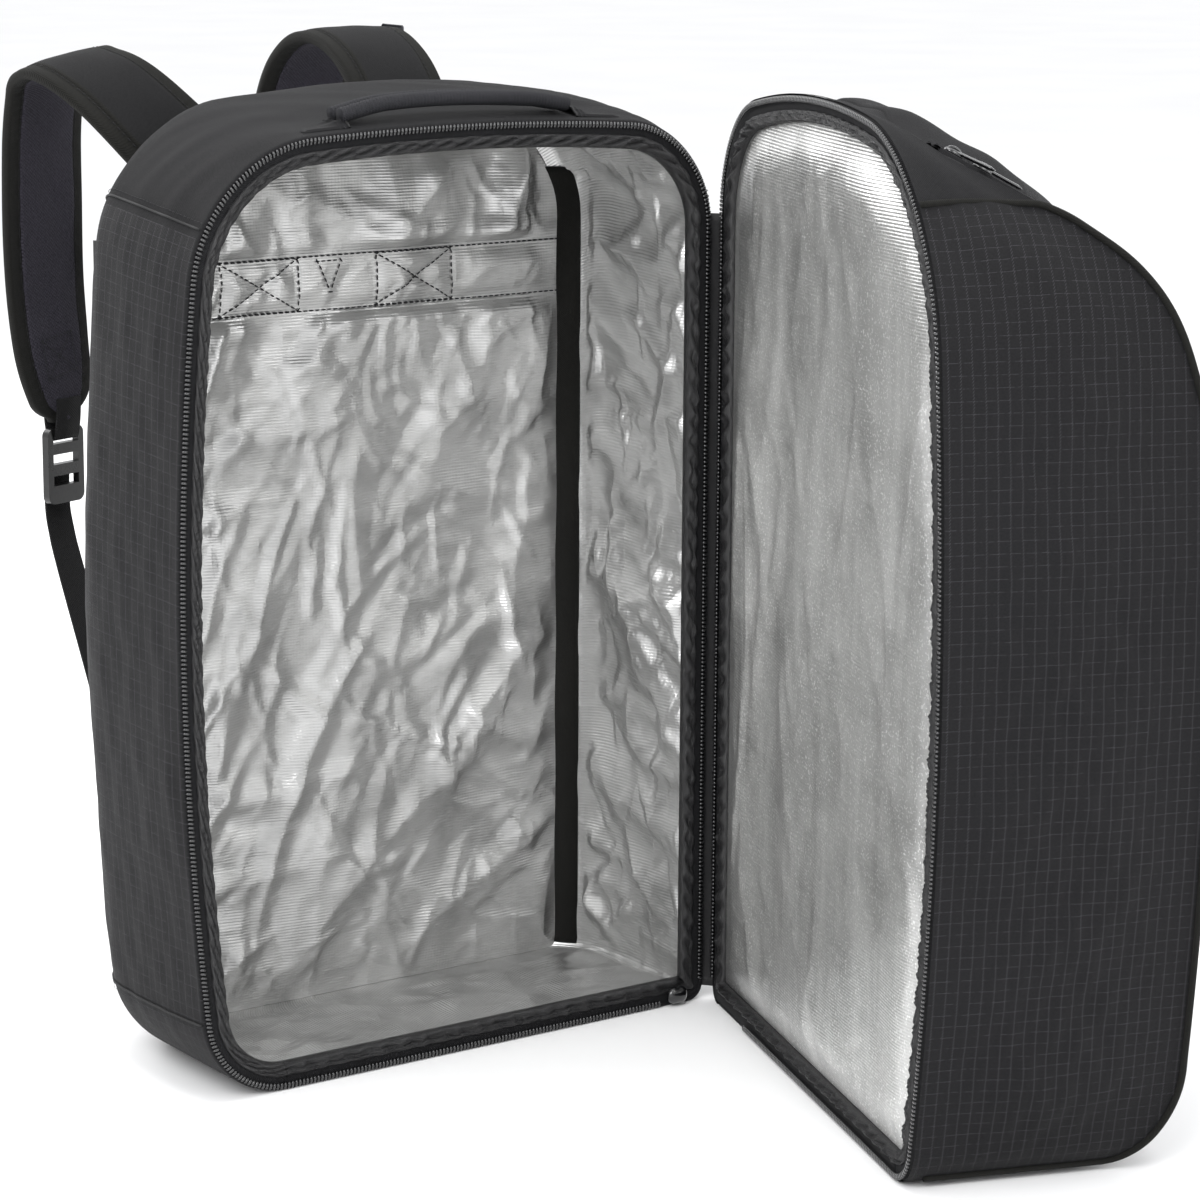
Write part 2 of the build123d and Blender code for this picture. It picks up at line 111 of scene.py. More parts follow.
def outline(spec, inset=0.0, rise=0.0):
    # closed outline in (x from -w/2 to w/2, z), base -> right -> top -> left, matching samples at any inset
    a = spec["w"] / 2 - inset
    z0, z1 = inset, spec["h"] + rise - inset
    r = [max(v - inset, 0.001) for v in spec["r"]]
    pts = [(-a, z0), (a, z0), (a, z1), (-a, z1)]
    bow = (0.0, 0.0, spec["top"] + rise / 2, spec["left"])
    nrm = ((0, -1), (1, 0), (0, 1), (-1, 0))
    rad = (r[0], r[1], r[2], r[3])
    segs = []
    for i in range(4):
        p, q = np.array(pts[i]), np.array(pts[(i + 1) % 4])
        size = np.linalg.norm(q - p)
        t0, t1 = rad[i] / size, 1 - rad[(i + 1) % 4] / size
        t = np.linspace(t0, t1, SIDES[i])
        n = np.array(nrm[i])
        c = p + (q - p) * t[:, None] + n * (4 * bow[i] * t * (1 - t))[:, None]
        d = [(q - p) + n * (4 * bow[i] * (1 - 2 * e)) for e in (t0, t1)]
        segs.append((c, d))
    out = []
    for i in range(4):
        c, d = segs[i]
        nxt, e = segs[(i + 1) % 4]
        A, B = c[-1], nxt[0]
        m = np.array([d[1], -e[0]]).T
        s = np.linalg.solve(m, B - A)
        C = A + d[1] * s[0]
        t = np.linspace(0, 1, CORNER + 2)[1:-1, None]
        c1, c2 = A + (C - A) * 0.5523, B + (C - B) * 0.5523
        out.append(c)
        out.append((1 - t) ** 3 * A + 3 * (1 - t) ** 2 * t * c1 + 3 * (1 - t) * t ** 2 * c2 + t ** 3 * B)
    return np.vstack(out)


def run_length(p):
    d = np.linalg.norm(np.diff(np.vstack([p, p[:1]]), axis=0), axis=1)
    return np.concatenate([[0], np.cumsum(d)])


def body_spec(y):
    # the sides and the top round in towards the back panel
    a = math.asin(min(max((y - 0.0229) / 0.048, 0.0), 0.9397))
    tuck = 0.048 * (1 - math.cos(a))
    return dict(BODY, w=WIDTH - 2 * tuck, h=HEIGHT - tuck)


def body_rim(inset, y):
    p = outline(body_spec(y), inset, RISE * (y - FRONT) / DEPTH)
    return np.column_stack([p[:, 0], np.full(len(p), y), p[:, 1]])


def door_point(x, v, z):
    # x is -w/2 (free side) to w/2 (hinge side), v is out of the door front
    u = WIDTH / 2 - x
    return HINGE + np.multiply.outer(u, U) + np.multiply.outer(v, V) + np.multiply.outer(z, Z)


def door_rim(inset, v):
    p = outline(DOOR, inset)
    return door_point(p[:, 0], np.full(len(p), v), p[:, 1])


# ------------------------------------------------------------------ meshes
def make(name, verts, faces, mats, body, uv=None, mat_index=None, flat=False):
    me = bpy.data.meshes.new(name)
    me.from_pydata([tuple(v) for v in verts], [], faces)
    if uv is not None:
        layer = me.uv_layers.new(name="weave")
        loops = np.zeros(len(me.loops), dtype=np.int32)
        me.loops.foreach_get("vertex_index", loops)
        layer.data.foreach_set("uv", np.asarray(uv)[loops].astype(np.float32).ravel())
    for m in (mats if isinstance(mats, (list, tuple)) else [mats]):
        me.materials.append(m)
    if mat_index is not None:
        me.polygons.foreach_set("material_index", np.asarray(mat_index, dtype=np.int32))
    if not flat:
        me.polygons.foreach_set("use_smooth", [True] * len(me.polygons))
    me.update()
    ob = bpy.data.objects.new(name, me)
    bpy.context.scene.collection.objects.link(ob)
    if body:
        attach(ob, body)
    return ob


def grid(name, P, uv, mats, body, wrap=False, flip=False, mat_rows=None, thick=0.0, flat=False):
    # P has shape (n, m, 3); wrap closes the first direction
    n, m = P.shape[:2]
    rows = n if wrap else n - 1
    if wrap:                       # repeat the first row so that the weave has a seam, not a smear
        P = np.concatenate([P, P[:1]], axis=0)
        rows = n
        n += 1
    faces, idx = [], []
    for i in range(n - 1):
        for j in range(m - 1):
            a, b, c, d = i * m + j, i * m + j + 1, (i + 1) * m + j + 1, (i + 1) * m + j
            faces.append((a, b, c, d) if not flip else (a, d, c, b))
            if mat_rows is not None:
                idx.append(mat_rows[i])
    ob = make(name, P.reshape(-1, 3), faces, mats, body, uv=np.asarray(uv).reshape(-1, 2),
              mat_index=idx if mat_rows is not None else None, flat=flat)
    if thick:
        mod = ob.modifiers.new("cloth", "SOLIDIFY")
        mod.thickness = thick
        mod.offset = -1
    return ob


def ring_uv(base, spans, wrap=True):
    # uv in metres: along the outline, and across the strip
    s = run_length(base)
    if not wrap:
        s = s[:-1]
    return np.stack(np.meshgrid(s, spans, indexing="ij"), axis=-1)


def normals_2d(p):
    t = np.roll(p, -1, axis=0) - np.roll(p, 1, axis=0)
    t /= np.linalg.norm(t, axis=1)[:, None]
    return np.column_stack([t[:, 1], -t[:, 0]])


def tube(name, path, radius, mats, body, sides=12, closed=False, ribs=0.0, pitch=0.0016, caps=True):
    path = np.asarray(path, float)
    n = len(path)
    if closed:
        tan = np.roll(path, -1, axis=0) - np.roll(path, 1, axis=0)
    else:
        tan = np.gradient(path, axis=0)
    tan /= np.linalg.norm(tan, axis=1)[:, None]
    ref = np.array([0.0, 1.0, 0.0]) if abs(tan[0][1]) < 0.9 else np.array([1.0, 0, 0])
    verts, uvs = [], []
    s = np.concatenate([[0], np.cumsum(np.linalg.norm(np.diff(path, axis=0), axis=1))])
    r = np.broadcast_to(radius, (n,))
    for i in range(n):
        ref = ref - tan[i] * ref.dot(tan[i])
        ref /= np.linalg.norm(ref)
        other = np.cross(tan[i], ref)
        for k in range(sides):
            a = 2 * PI * k / sides
            rr = r[i] * (1 + ribs * math.sin(2 * PI * s[i] / pitch))
            verts.append(path[i] + (ref * math.cos(a) + other * math.sin(a)) * rr)
            uvs.append((s[i], a / (2 * PI) * 2 * PI * r[i]))
    faces = []
    for i in range(n if closed else n - 1):
        for k in range(sides):
            a, b = i * sides + k, i * sides + (k + 1) % sides
            c, d = ((i + 1) % n) * sides + (k + 1) % sides, ((i + 1) % n) * sides + k
            faces.append((a, b, c, d))
    if not closed and caps:
        faces.append(tuple(range(sides))[::-1])
        faces.append(tuple((n - 1) * sides + k for k in range(sides)))
    return make(name, verts, faces, mats, body, uv=uvs)


def resample(p, step, closed=True):
    q = np.vstack([p, p[:1]]) if closed else p
    s = np.concatenate([[0], np.cumsum(np.linalg.norm(np.diff(q, axis=0), axis=1))])
    n = max(2, int(round(s[-1] / step)))
    t = np.linspace(0, s[-1], n + (0 if closed else 1), endpoint=not closed)
    return np.column_stack([np.interp(t, s, q[:, k]) for k in range(q.shape[1])])


def merge(name, parts, mats, body, smooth_faces=True):
    # parts: list of (verts, faces)
    V_, F_, o = [], [], 0
    for v, f in parts:
        V_.append(np.asarray(v))
        F_.extend([tuple(i + o for i in q) for q in f])
        o += len(v)
    return make(name, np.vstack(V_), F_, mats, body, flat=not smooth_faces)


# ------------------------------------------------------------------ materials
def new_mat(name):
    m = bpy.data.materials.new(name)
    m.use_nodes = True
    nt = m.node_tree
    nt.nodes.clear()
    out = nt.nodes.new("ShaderNodeOutputMaterial")
    bsdf = nt.nodes.new("ShaderNodeBsdfPrincipled")
    nt.links.new(bsdf.outputs[0], out.inputs[0])
    return m, nt, bsdf


class Net:
    def __init__(self, nt):
        self.nt = nt

    def add(self, kind, **kw):
        n = self.nt.nodes.new(kind)
        for k, v in kw.items():
            setattr(n, k, v)
        return n

    def put(self, sock, v):
        if isinstance(v, (int, float)):
            sock.default_value = v
        elif isinstance(v, (tuple, list)):
            sock.default_value = v
        else:
            self.nt.links.new(v, sock)

    def math(self, op, a, b=None, c=None):
        n = self.add("ShaderNodeMath", operation=op)
        self.put(n.inputs[0], a)
        if b is not None:
            self.put(n.inputs[1], b)
        if c is not None:
            self.put(n.inputs[2], c)
        return n.outputs[0]

    def uv(self):
        n = self.add("ShaderNodeUVMap")
        n.uv_map = "weave"
        s = self.add("ShaderNodeSeparateXYZ")
        self.nt.links.new(n.outputs[0], s.inputs[0])
        return n.outputs[0], s.outputs[0], s.outputs[1]

    def obj(self):
        return self.add("ShaderNodeTexCoord").outputs["Object"]

    def noise(self, vec, scale, detail=3.0, rough=0.5, stretch=None):
        if stretch:
            mp = self.add("ShaderNodeMapping")
            self.put(mp.inputs[0], vec)
            mp.inputs["Scale"].default_value = stretch
            vec = mp.outputs[0]
        n = self.add("ShaderNodeTexNoise")
        self.put(n.inputs["Vector"], vec)
        n.inputs["Scale"].default_value = scale
        n.inputs["Detail"].default_value = detail
        n.inputs["Roughness"].default_value = rough
        return n.outputs["Fac"]

    def ramp(self, fac, stops):
        n = self.add("ShaderNodeValToRGB")
        self.put(n.inputs[0], fac)
        el = n.color_ramp.elements
        while len(el) < len(stops):
            el.new(0.5)
        for e, (p, c) in zip(el, stops):
            e.position = p
            e.color = (*c, 1) if len(c) == 3 else c
        return n.outputs[0]

    def mix(self, fac, a, b):
        n = self.add("ShaderNodeMix", data_type="RGBA")
        self.put(n.inputs[0], fac)
        self.put(n.inputs[6], (*a, 1) if isinstance(a, tuple) else a)
        self.put(n.inputs[7], (*b, 1) if isinstance(b, tuple) else b)
        return n.outputs[2]

    def line(self, coord, period, width):
        # 1 on thin lines every period, soft edges
        f = self.math("FRACT", self.math("DIVIDE", coord, period))
        d = self.math("ABSOLUTE", self.math("SUBTRACT", f, 0.5))
        m = self.add("ShaderNodeMapRange", interpolation_type="SMOOTHSTEP")
        self.put(m.inputs[0], d)
        m.inputs[1].default_value = 0.5 - width
        m.inputs[2].default_value = 0.5
        return m.outputs[0]

    def bump(self, height, dist, strength=1.0, normal=None):
        n = self.add("ShaderNodeBump")
        n.inputs["Strength"].default_value = strength
        n.inputs["Distance"].default_value = dist
        self.put(n.inputs["Height"], height)
        if normal is not None:
            self.put(n.inputs["Normal"], normal)
        return n.outputs[0]


def ripstop(name, dark, light, cell=0.0063, twill=1.0):
    m, nt, b = new_mat(name)
    k = Net(nt)
    _, u, v = k.uv()
    hatch = k.math("SINE", k.math("MULTIPLY", k.math("ADD", u, k.math("MULTIPLY", v, 0.8)), 2 * PI / 0.0013))
    hatch = k.math("MAXIMUM", hatch, 0.0)
    col = k.math("MULTIPLY", k.line(u, cell, 0.15), hatch)
    row = k.line(v, cell, 0.075)
    dash = k.math("GREATER_THAN", k.noise(k.uv()[0], 260.0, 1.0), 0.47)
    row = k.math("MULTIPLY", row, k.math("ADD", k.math("MULTIPLY", dash, 0.7), 0.3))
    ground = k.math("MULTIPLY", k.math("SINE", k.math("MULTIPLY", u, 2 * PI / 0.00075)),
                    k.math("SINE", k.math("MULTIPLY", v, 2 * PI / 0.00075)))
    speck = k.noise(k.uv()[0], 900.0, 2.0, 0.7)
    cloudy = k.noise(k.obj(), 9.0, 3.0)
    f = k.math("ADD", k.math("MULTIPLY", speck, 0.62), k.math("MULTIPLY", cloudy, 0.15))
    f = k.math("ADD", f, k.math("MULTIPLY", ground, 0.06))
    f = k.math("ADD", f, k.math("MULTIPLY", col, 0.95 * twill))
    f = k.math("ADD", f, k.math("MULTIPLY", row, 0.50))
    mid = tuple(0.5 * (p + q) for p, q in zip(dark, light))
    base = k.ramp(f, [(0.22, dark), (0.42, mid), (0.72, light), (1.0, tuple(min(1, c * 3.2) for c in light))])
    k.put(b.inputs["Base Color"], base)
    h = k.math("ADD", k.math("MULTIPLY", ground, 0.35), k.math("ADD", k.math("MULTIPLY", col, 0.9), k.math("MULTIPLY", row, 0.8)))
    h = k.math("ADD", h, k.math("MULTIPLY", speck, 0.6))
    soft = k.noise(k.obj(), 11.0, 2.0)
    n1 = k.bump(soft, 0.0026, 0.5)
    k.put(b.inputs["Normal"], k.bump(h, 0.00025, 0.8, n1))
    b.inputs["Roughness"].default_value = 0.62
    b.inputs["Specular IOR Level"].default_value = 0.16
    b.inputs["Sheen Weight"].default_value = 0.012
    b.inputs["Sheen Roughness"].default_value = 0.5
    return m


def weave(name, dark, light, pitch=0.0009, rough=0.72, soft=0.0010, sheen=0.012, twill=False, grain=0.6, spec=0.16):
    m, nt, b = new_mat(name)
    k = Net(nt)
    vec, u, v = k.uv()
    if twill:
        g = k.math("SINE", k.math("MULTIPLY", k.math("ADD", u, v), 2 * PI / pitch))
    else:
        g = k.math("MULTIPLY", k.math("SINE", k.math("MULTIPLY", u, 2 * PI / pitch)),
                   k.math("SINE", k.math("MULTIPLY", v, 2 * PI / pitch)))
    speck = k.noise(k.obj(), 750.0, 2.0, 0.7)
    cloudy = k.noise(k.obj(), 12.0, 3.0)
    f = k.math("ADD", k.math("MULTIPLY", speck, grain), k.math("ADD", k.math("MULTIPLY", cloudy, 0.35), k.math("MULTIPLY", g, 0.16)))
    k.put(b.inputs["Base Color"], k.ramp(f, [(0.25, dark), (0.8, light)]))
    n1 = k.bump(k.noise(k.obj(), 30.0, 3.0), soft, 0.5)
    k.put(b.inputs["Normal"], k.bump(k.math("ADD", g, speck), 0.00022, 0.7, n1))
    b.inputs["Roughness"].default_value = rough
    b.inputs["Specular IOR Level"].default_value = spec
    b.inputs["Sheen Weight"].default_value = sheen
    return m


def silver(name, tone, rough=(0.26, 0.5), crinkle=0.0016, speckle=0.0, metal=0.92, facet=17.0, cloud=0.7, streak=0.0):
    m, nt, b = new_mat(name)
    k = Net(nt)
    vec, u, v = k.uv()
    ribs = k.math("SINE", k.math("MULTIPLY", v, 2 * PI / 0.00175))
    weft = k.math("SINE", k.math("MULTIPLY", u, 2 * PI / 0.0021))
    patch = k.noise(k.obj(), 22.0, 4.0, 0.6)
    fine = k.noise(k.obj(), 420.0, 2.0, 0.6)
    # painted dark reflections: in random patches the colour drops to tone * cloud, standing in for the dark reflections
    # and wrinkle shade of the foil; the same patch noise also sets the roughness
    col = k.ramp(patch, [(0.28, tuple(c * cloud for c in tone)), (0.52, tone), (0.8, tuple(min(1, c * 1.10) for c in tone))])
    if streak:
        down = k.ramp(k.noise(k.obj(), 60.0, 4.0, 0.6, stretch=(1.0, 1.0, 0.10)), [(0.38, (1, 1, 1)), (0.62, (0, 0, 0))])
        col = k.mix(k.math("MULTIPLY", down, streak), col, tuple(c * 0.45 for c in tone))
    if speckle:
        dots = k.ramp(k.noise(k.obj(), 700.0, 1.0, 0.5), [(0.58, (0, 0, 0)), (0.66, (1, 1, 1))])
        amt = k.math("MULTIPLY", dots, speckle)
        col = k.mix(amt, col, (0.95, 0.95, 0.94))
    k.put(b.inputs["Base Color"], col)
    k.put(b.inputs["Roughness"], k.math("ADD", rough[0], k.math("MULTIPLY", k.math("ADD", k.math("MULTIPLY", patch, 0.7), k.math("MULTIPLY", fine, 0.3)), rough[1] - rough[0])))
    b.inputs["Metallic"].default_value = metal
    warp = k.add("ShaderNodeVectorMath", operation="ADD")
    shake = k.add("ShaderNodeTexNoise")
    shake.inputs["Scale"].default_value = 9.0
    small = k.add("ShaderNodeVectorMath", operation="SCALE")
    nt.links.new(shake.outputs["Color"], small.inputs[0])
    nt.links.new(k.obj(), shake.inputs["Vector"])
    small.inputs["Scale"].default_value = 0.05
    nt.links.new(k.obj(), warp.inputs[0])
    nt.links.new(small.outputs[0], warp.inputs[1])
    crease = k.add("ShaderNodeTexVoronoi", feature="F1")
    nt.links.new(warp.outputs[0], crease.inputs["Vector"])
    crease.inputs["Scale"].default_value = facet
    fold2 = k.add("ShaderNodeTexVoronoi", feature="F1")
    nt.links.new(warp.outputs[0], fold2.inputs["Vector"])
    fold2.inputs["Scale"].default_value = facet * 2.7
    cr = k.math("ADD", crease.outputs["Distance"], k.math("MULTIPLY", fold2.outputs["Distance"], 0.35))
    cr = k.math("ADD", cr, k.math("MULTIPLY", k.noise(k.obj(), 45.0, 3.0, 0.6), 0.18))
    n1 = k.bump(cr, crinkle, 1.0)
    h = k.math("ADD", k.math("MULTIPLY", ribs, 0.42), k.math("MULTIPLY", weft, 0.07))
    h = k.math("ADD", h, k.math("MULTIPLY", fine, 1.0))
    k.put(b.inputs["Normal"], k.bump(h, 0.00020, 0.75, n1))
    return m


def plastic(name, color, rough=0.35, grain=0.3, metal=0.0, coat=0.0, bump=0.00008):
    m, nt, b = new_mat(name)
    k = Net(nt)
    n = k.noise(k.obj(), 350.0, 3.0, 0.6)
    k.put(b.inputs["Base Color"], k.ramp(n, [(0.3, tuple(c * 0.75 for c in color)), (0.8, tuple(min(1, c * 1.35) for c in color))]))
    k.put(b.inputs["Roughness"], k.math("ADD", rough - 0.5 * grain * rough, k.math("MULTIPLY", k.noise(k.obj(), 60.0, 3.0), grain * rough)))
    k.put(b.inputs["Normal"], k.bump(n, bump, 0.6))
    b.inputs["Metallic"].default_value = metal
    b.inputs["Coat Weight"].default_value = coat
    return m


M = {
    "side": ripstop("ripstop_side", (0.0028, 0.0028, 0.0033), (0.0115, 0.0112, 0.0126)),
    "top": weave("plain_top", (0.0042, 0.0042, 0.0048), (0.0150, 0.0148, 0.0162), pitch=0.0011),
    # the body lining and the divider are one silver cloth in two tones: the body copy is darker as painted shade inside
    # the bag, and the divider copy is lighter as a painted reflection of the bright surroundings
    "lining": silver("silver_lining", tone=(0.53, 0.53, 0.525), rough=(0.25, 0.42), crinkle=0.0028, metal=0.84),
    "lining_door": silver("silver_divider", tone=(0.63, 0.63, 0.62), rough=(0.30, 0.42), crinkle=0.0013, speckle=0.65,
                          cloud=0.72, streak=0.30),
    "facing": weave("puckered_nylon", (0.004, 0.004, 0.0045), (0.014, 0.0135, 0.015), pitch=0.0006, rough=0.30,
                    sheen=0.0, spec=0.55),
    "tape": weave("zip_tape", (0.004, 0.004, 0.0045), (0.018, 0.018, 0.020), pitch=0.0013, twill=True),
    "coil": plastic("zip_coil", (0.012, 0.012, 0.013), rough=0.2, coat=0.7),
    "metal": plastic("slider_enamel", (0.006, 0.006, 0.007), rough=0.12, coat=1.0, metal=0.1),
    "binding": weave("grosgrain_binding", (0.0035, 0.0035, 0.003), (0.0135, 0.0132, 0.0112), pitch=0.0011, twill=True),
    "strap": weave("strap_cloth", (0.0035, 0.0035, 0.004), (0.013, 0.013, 0.014), pitch=0.001),
    "mesh": weave("spacer_mesh", (0.010, 0.0090, 0.0130), (0.046, 0.043, 0.056), pitch=0.0022, grain=0.8, rough=0.9),
    "webbing": weave("ribbed_webbing", (0.003, 0.003, 0.003), (0.015, 0.015, 0.016), pitch=0.0017),
    "cord": weave("rolled_cord", (0.008, 0.0082, 0.0095), (0.034, 0.034, 0.039), pitch=0.0016),
    "buckle": plastic("acetal", (0.010, 0.010, 0.010), rough=0.28),
    "thread": weave("thread", (0.008, 0.008, 0.009), (0.034, 0.034, 0.037), pitch=0.0008),
    "label": weave("woven_label", (0.02, 0.02, 0.024), (0.10, 0.10, 0.11), pitch=0.0007),
    "seam": plastic("dark_seam", (0.004, 0.004, 0.0045), rough=0.7),
}


# ------------------------------------------------------------------ shared builders
def scan(p):
    # left and right edge of an outline as functions of height
    top = int(np.argmax(p[:, 1]))
    left = np.vstack([p[top:], p[:1]])[::-1]
    right = p[SIDES[0] - 1:top + 1]
    return (lambda z: np.interp(z, left[:, 1], left[:, 0]), lambda z: np.interp(z, right[:, 1], right[:, 0]),
            p[:, 1].min(), p[:, 1].max())


def face_grid(p, rows, cols):
    # x, z arrays filling an outline, close rows near top and bottom
    xl, xr, z0, z1 = scan(p)
    t = np.linspace(0, 1, rows)
    z = z0 + (z1 - z0) * (0.5 - 0.5 * np.cos(PI * t))
    z[-1] = z1 - 1e-5
    k = 0.5 - 0.5 * np.cos(PI * np.linspace(0, 1, cols))
    k = 0.5 * k + 0.5 * np.linspace(0, 1, cols)
    L, R = xl(z), xr(z)
    X = L[:, None] + (R - L)[:, None] * k
    return X, np.repeat(z[:, None], cols, axis=1)


def sweep(name, C, A, N, prof, mats, body, mat_cols=None, loop=True, caps=True, uv_across=None):
    # prof (stations, points, 2): offsets along A and N
    C, A, N = (np.asarray(x, float) for x in (C, A, N))
    prof = np.asarray(prof, float)
    if prof.ndim == 2:
        prof = np.repeat(prof[None], len(C), axis=0)
    P = C[:, None] + A[:, None] * prof[..., :1] + N[:, None] * prof[..., 1:]
    n, m = P.shape[:2]
    s = np.concatenate([[0], np.cumsum(np.linalg.norm(np.diff(C, axis=0), axis=1))])
    uv = np.stack([prof[..., 0] if uv_across is None else np.repeat(np.asarray(uv_across)[None], n, axis=0),
                   np.repeat(s[:, None], m, axis=1)], axis=-1)
    faces, idx = [], []
    for i in range(n - 1):
        for j in range(m if loop else m - 1):
            q = (j + 1) % m
            faces.append((i * m + j, i * m + q, (i + 1) * m + q, (i + 1) * m + j))
            idx.append(mat_cols[j] if mat_cols is not None else 0)
    if loop and caps:
        faces.append(tuple(range(m))[::-1])
        faces.append(tuple((n - 1) * m + j for j in range(m)))
        idx += [mat_cols[0] if mat_cols is not None else 0] * 2
    return make(name, P.reshape(-1, 3), faces, mats, body, uv=uv.reshape(-1, 2), mat_index=idx)


def frames(C, normal):
    # tangent, across, normal along a line, with the given rough normal at each point
    C = np.asarray(C, float)
    T = np.gradient(C, axis=0)
    T /= np.linalg.norm(T, axis=1)[:, None]
    N = np.broadcast_to(np.asarray(normal, float), C.shape)
    A = np.cross(T, N)
    A /= np.linalg.norm(A, axis=1)[:, None]
    N = np.cross(A, T)
    return T, A, N


def bar(length, radius, flat=0.6):
    # one small rounded stitch or coil turn along x, flattened in z
    prof = [(-0.5, 0.0), (-0.42, 0.75), (-0.2, 1.0), (0.2, 1.0), (0.42, 0.75), (0.5, 0.0)]
    v, f, k = [], [], 6
    for x, r in prof:
        for a in range(k):
            t = 2 * PI * a / k
            v.append((x * length, radius * max(r, 0.05) * math.cos(t), radius * flat * max(r, 0.05) * math.sin(t)))
    for i in range(len(prof) - 1):
        for a in range(k):
            f.append((i * k + a, i * k + (a + 1) % k, (i + 1) * k + (a + 1) % k, (i + 1) * k + a))
    f.append(tuple(range(k))[::-1])
    f.append(tuple((len(prof) - 1) * k + a for a in range(k)))
    return np.array(v), f


def copies(name, shape, C, X, Zn, mat, body):
    # one mesh with the shape at each point, x along X, z along Zn
    v0, f0 = shape
    C, X, Zn = (np.asarray(q, float) for q in (C, X, Zn))
    X = X / np.linalg.norm(X, axis=1)[:, None]
    Zn = Zn - X * np.sum(X * Zn, axis=1)[:, None]
    Zn /= np.linalg.norm(Zn, axis=1)[:, None]
    Y = np.cross(Zn, X)
    P = C[:, None] + v0[None, :, :1] * X[:, None] + v0[None, :, 1:2] * Y[:, None] + v0[None, :, 2:] * Zn[:, None]
    n, m = len(C), len(v0)
    faces = [tuple(i + k * m for i in q) for k in range(n) for q in f0]
    return make(name, P.reshape(-1, 3), faces, mat, body, uv=np.zeros((n * m, 2)))


def stitches(name, path, normal, body, length=0.0031, step=0.0042, radius=0.00035, mat=None, closed=False, lift=0.0003):
    p = resample(np.asarray(path, float), step, closed)
    t = (np.roll(p, -1, axis=0) - p) if closed else np.gradient(p, axis=0)
    N = np.broadcast_to(np.asarray(normal, float), p.shape)
    return copies(name, bar(length, radius), p + N * lift, t, N, mat or M["thread"], body)


def coil(name, rim_out, mid_inset, y_vec, body, make_rim, level, width=0.0038, pitch=0.00238, keep=None):
    # coil turns lie across the zip edge, following the rim
    p = make_rim(mid_inset, level)
    q = make_rim(mid_inset + 0.002, level)
    n = q - p
    n /= np.linalg.norm(n, axis=1)[:, None]
    both = resample(np.hstack([p, n]), 1.0) if False else None
    s = run_length(p)
    count = int(s[-1] / pitch)
    t = (np.arange(count) + 0.5) * s[-1] / count
    pc = np.vstack([p, p[:1]])
    nc = np.vstack([n, n[:1]])
    P = np.column_stack([np.interp(t, s, pc[:, k]) for k in range(3)])
    N = np.column_stack([np.interp(t, s, nc[:, k]) for k in range(3)])
    N /= np.linalg.norm(N, axis=1)[:, None]
    T = np.cross(N, y_vec)
    X = N + T * 0.16
    if keep is not None:
        sel = keep(P)
        P, X = P[sel], X[sel]
    Y = np.broadcast_to(y_vec, P.shape)
    v, f = bar(width, 0.00098, 1.0)
    v = v.copy()
    v[:, 2] = np.where(v[:, 2] > 0, v[:, 2] * 1.25, v[:, 2] * 0.5)
    return copies(name, (v, f), P, X, Y, M["coil"], body)


# ------------------------------------------------------------------ body shell
outer = outline(BODY)
flat2 = normals_2d(outer)
steps = [(-0.0641, 0.0030), (-0.0652, 0.0024), (-0.0656, 0.0012), (-0.0650, 0.0003), (-0.0638, 0.0)]
steps += [(float(y), 0.0) for y in np.linspace(-0.0615, 0.020, 30)]
steps += [(0.0229 + 0.048 * math.sin(math.radians(a)), 0.0) for a in range(5, 70, 5)]
steps += [(BACK - 0.0004, 0.0012), (BACK, 0.0040)]
rows = []
for y, inset in steps:
    r = body_rim(inset, y)
    t = (y - FRONT) / DEPTH
    free = smooth(0.004, 0.06, r[:, 2])
    side = smooth(0.0, 0.12, t) * smooth(0.0, 0.10, 1 - t)
    amp = 0.0026 * math.sin(PI * min(max(t, 0), 1)) + 0.0007 * waves(r[:, 2], y * 1.2 + r[:, 0], 3, 0.15) \
        + 0.00022 * waves(r[:, 2] * 1.3, y * 2.2 + r[:, 0], 5, 0.045)
    under_handle = smooth(0.49, 0.52, r[:, 2]) * (1 - smooth(0.09, 0.13, np.abs(r[:, 0]))) * (1 - smooth(-0.036, -0.015, y))
    shift = flat2 * (amp * free * side * (1 - 0.85 * under_handle))[:, None]
    r = r + np.column_stack([shift[:, 0], np.zeros(len(r)), shift[:, 1]])
    rows.append(r)
P = np.stack(rows, axis=1)
s_out = run_length(outer)
dist = np.concatenate([[0], np.cumsum([math.hypot(b[0] - a[0], b[1] - a[1]) for a, b in zip(steps, steps[1:])])])
uv = np.stack([np.repeat(dist[None], len(s_out), axis=0), np.repeat(s_out[:, None], len(dist), axis=1)], axis=-1)
high = (np.append(outer[:, 1], outer[0, 1]) > 0.478).astype(int)
shell = grid("body_fabric", P, uv, [M["side"], M["top"]], "shell", wrap=True, flip=True, mat_rows=high)
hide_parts("left_side_panel", "right_side_panel", "top_panel", "base_panel", "base_board")

# seams across the gusset at each end of the top panel
for tag, sgn in (("left", -1), ("right", 1)):
    idx = [i for i in range(len(outer)) if sgn * outer[i, 0] > 0.06]
    for z in (0.478, 0.046):
        i = min(idx, key=lambda k: abs(outer[k, 1] - z))
        nrm = np.array([flat2[i, 0], 0, flat2[i, 1]])
        line = P[i, 4:-4] + nrm * 0.0004
        seam = tube("gusset_seam_%s_%d" % (tag, round(z * 1000)), line, 0.0007, M["seam"], "shell", sides=8)
        off = np.array([-nrm[2], 0, nrm[0]]) * 0.0035 * sgn
        stitches("gusset_stitch_%s_%d" % (tag, round(z * 1000)), line + (off if z > 0.2 else -off), nrm, "shell",
                 length=0.0024, step=0.0034, radius=0.00028)

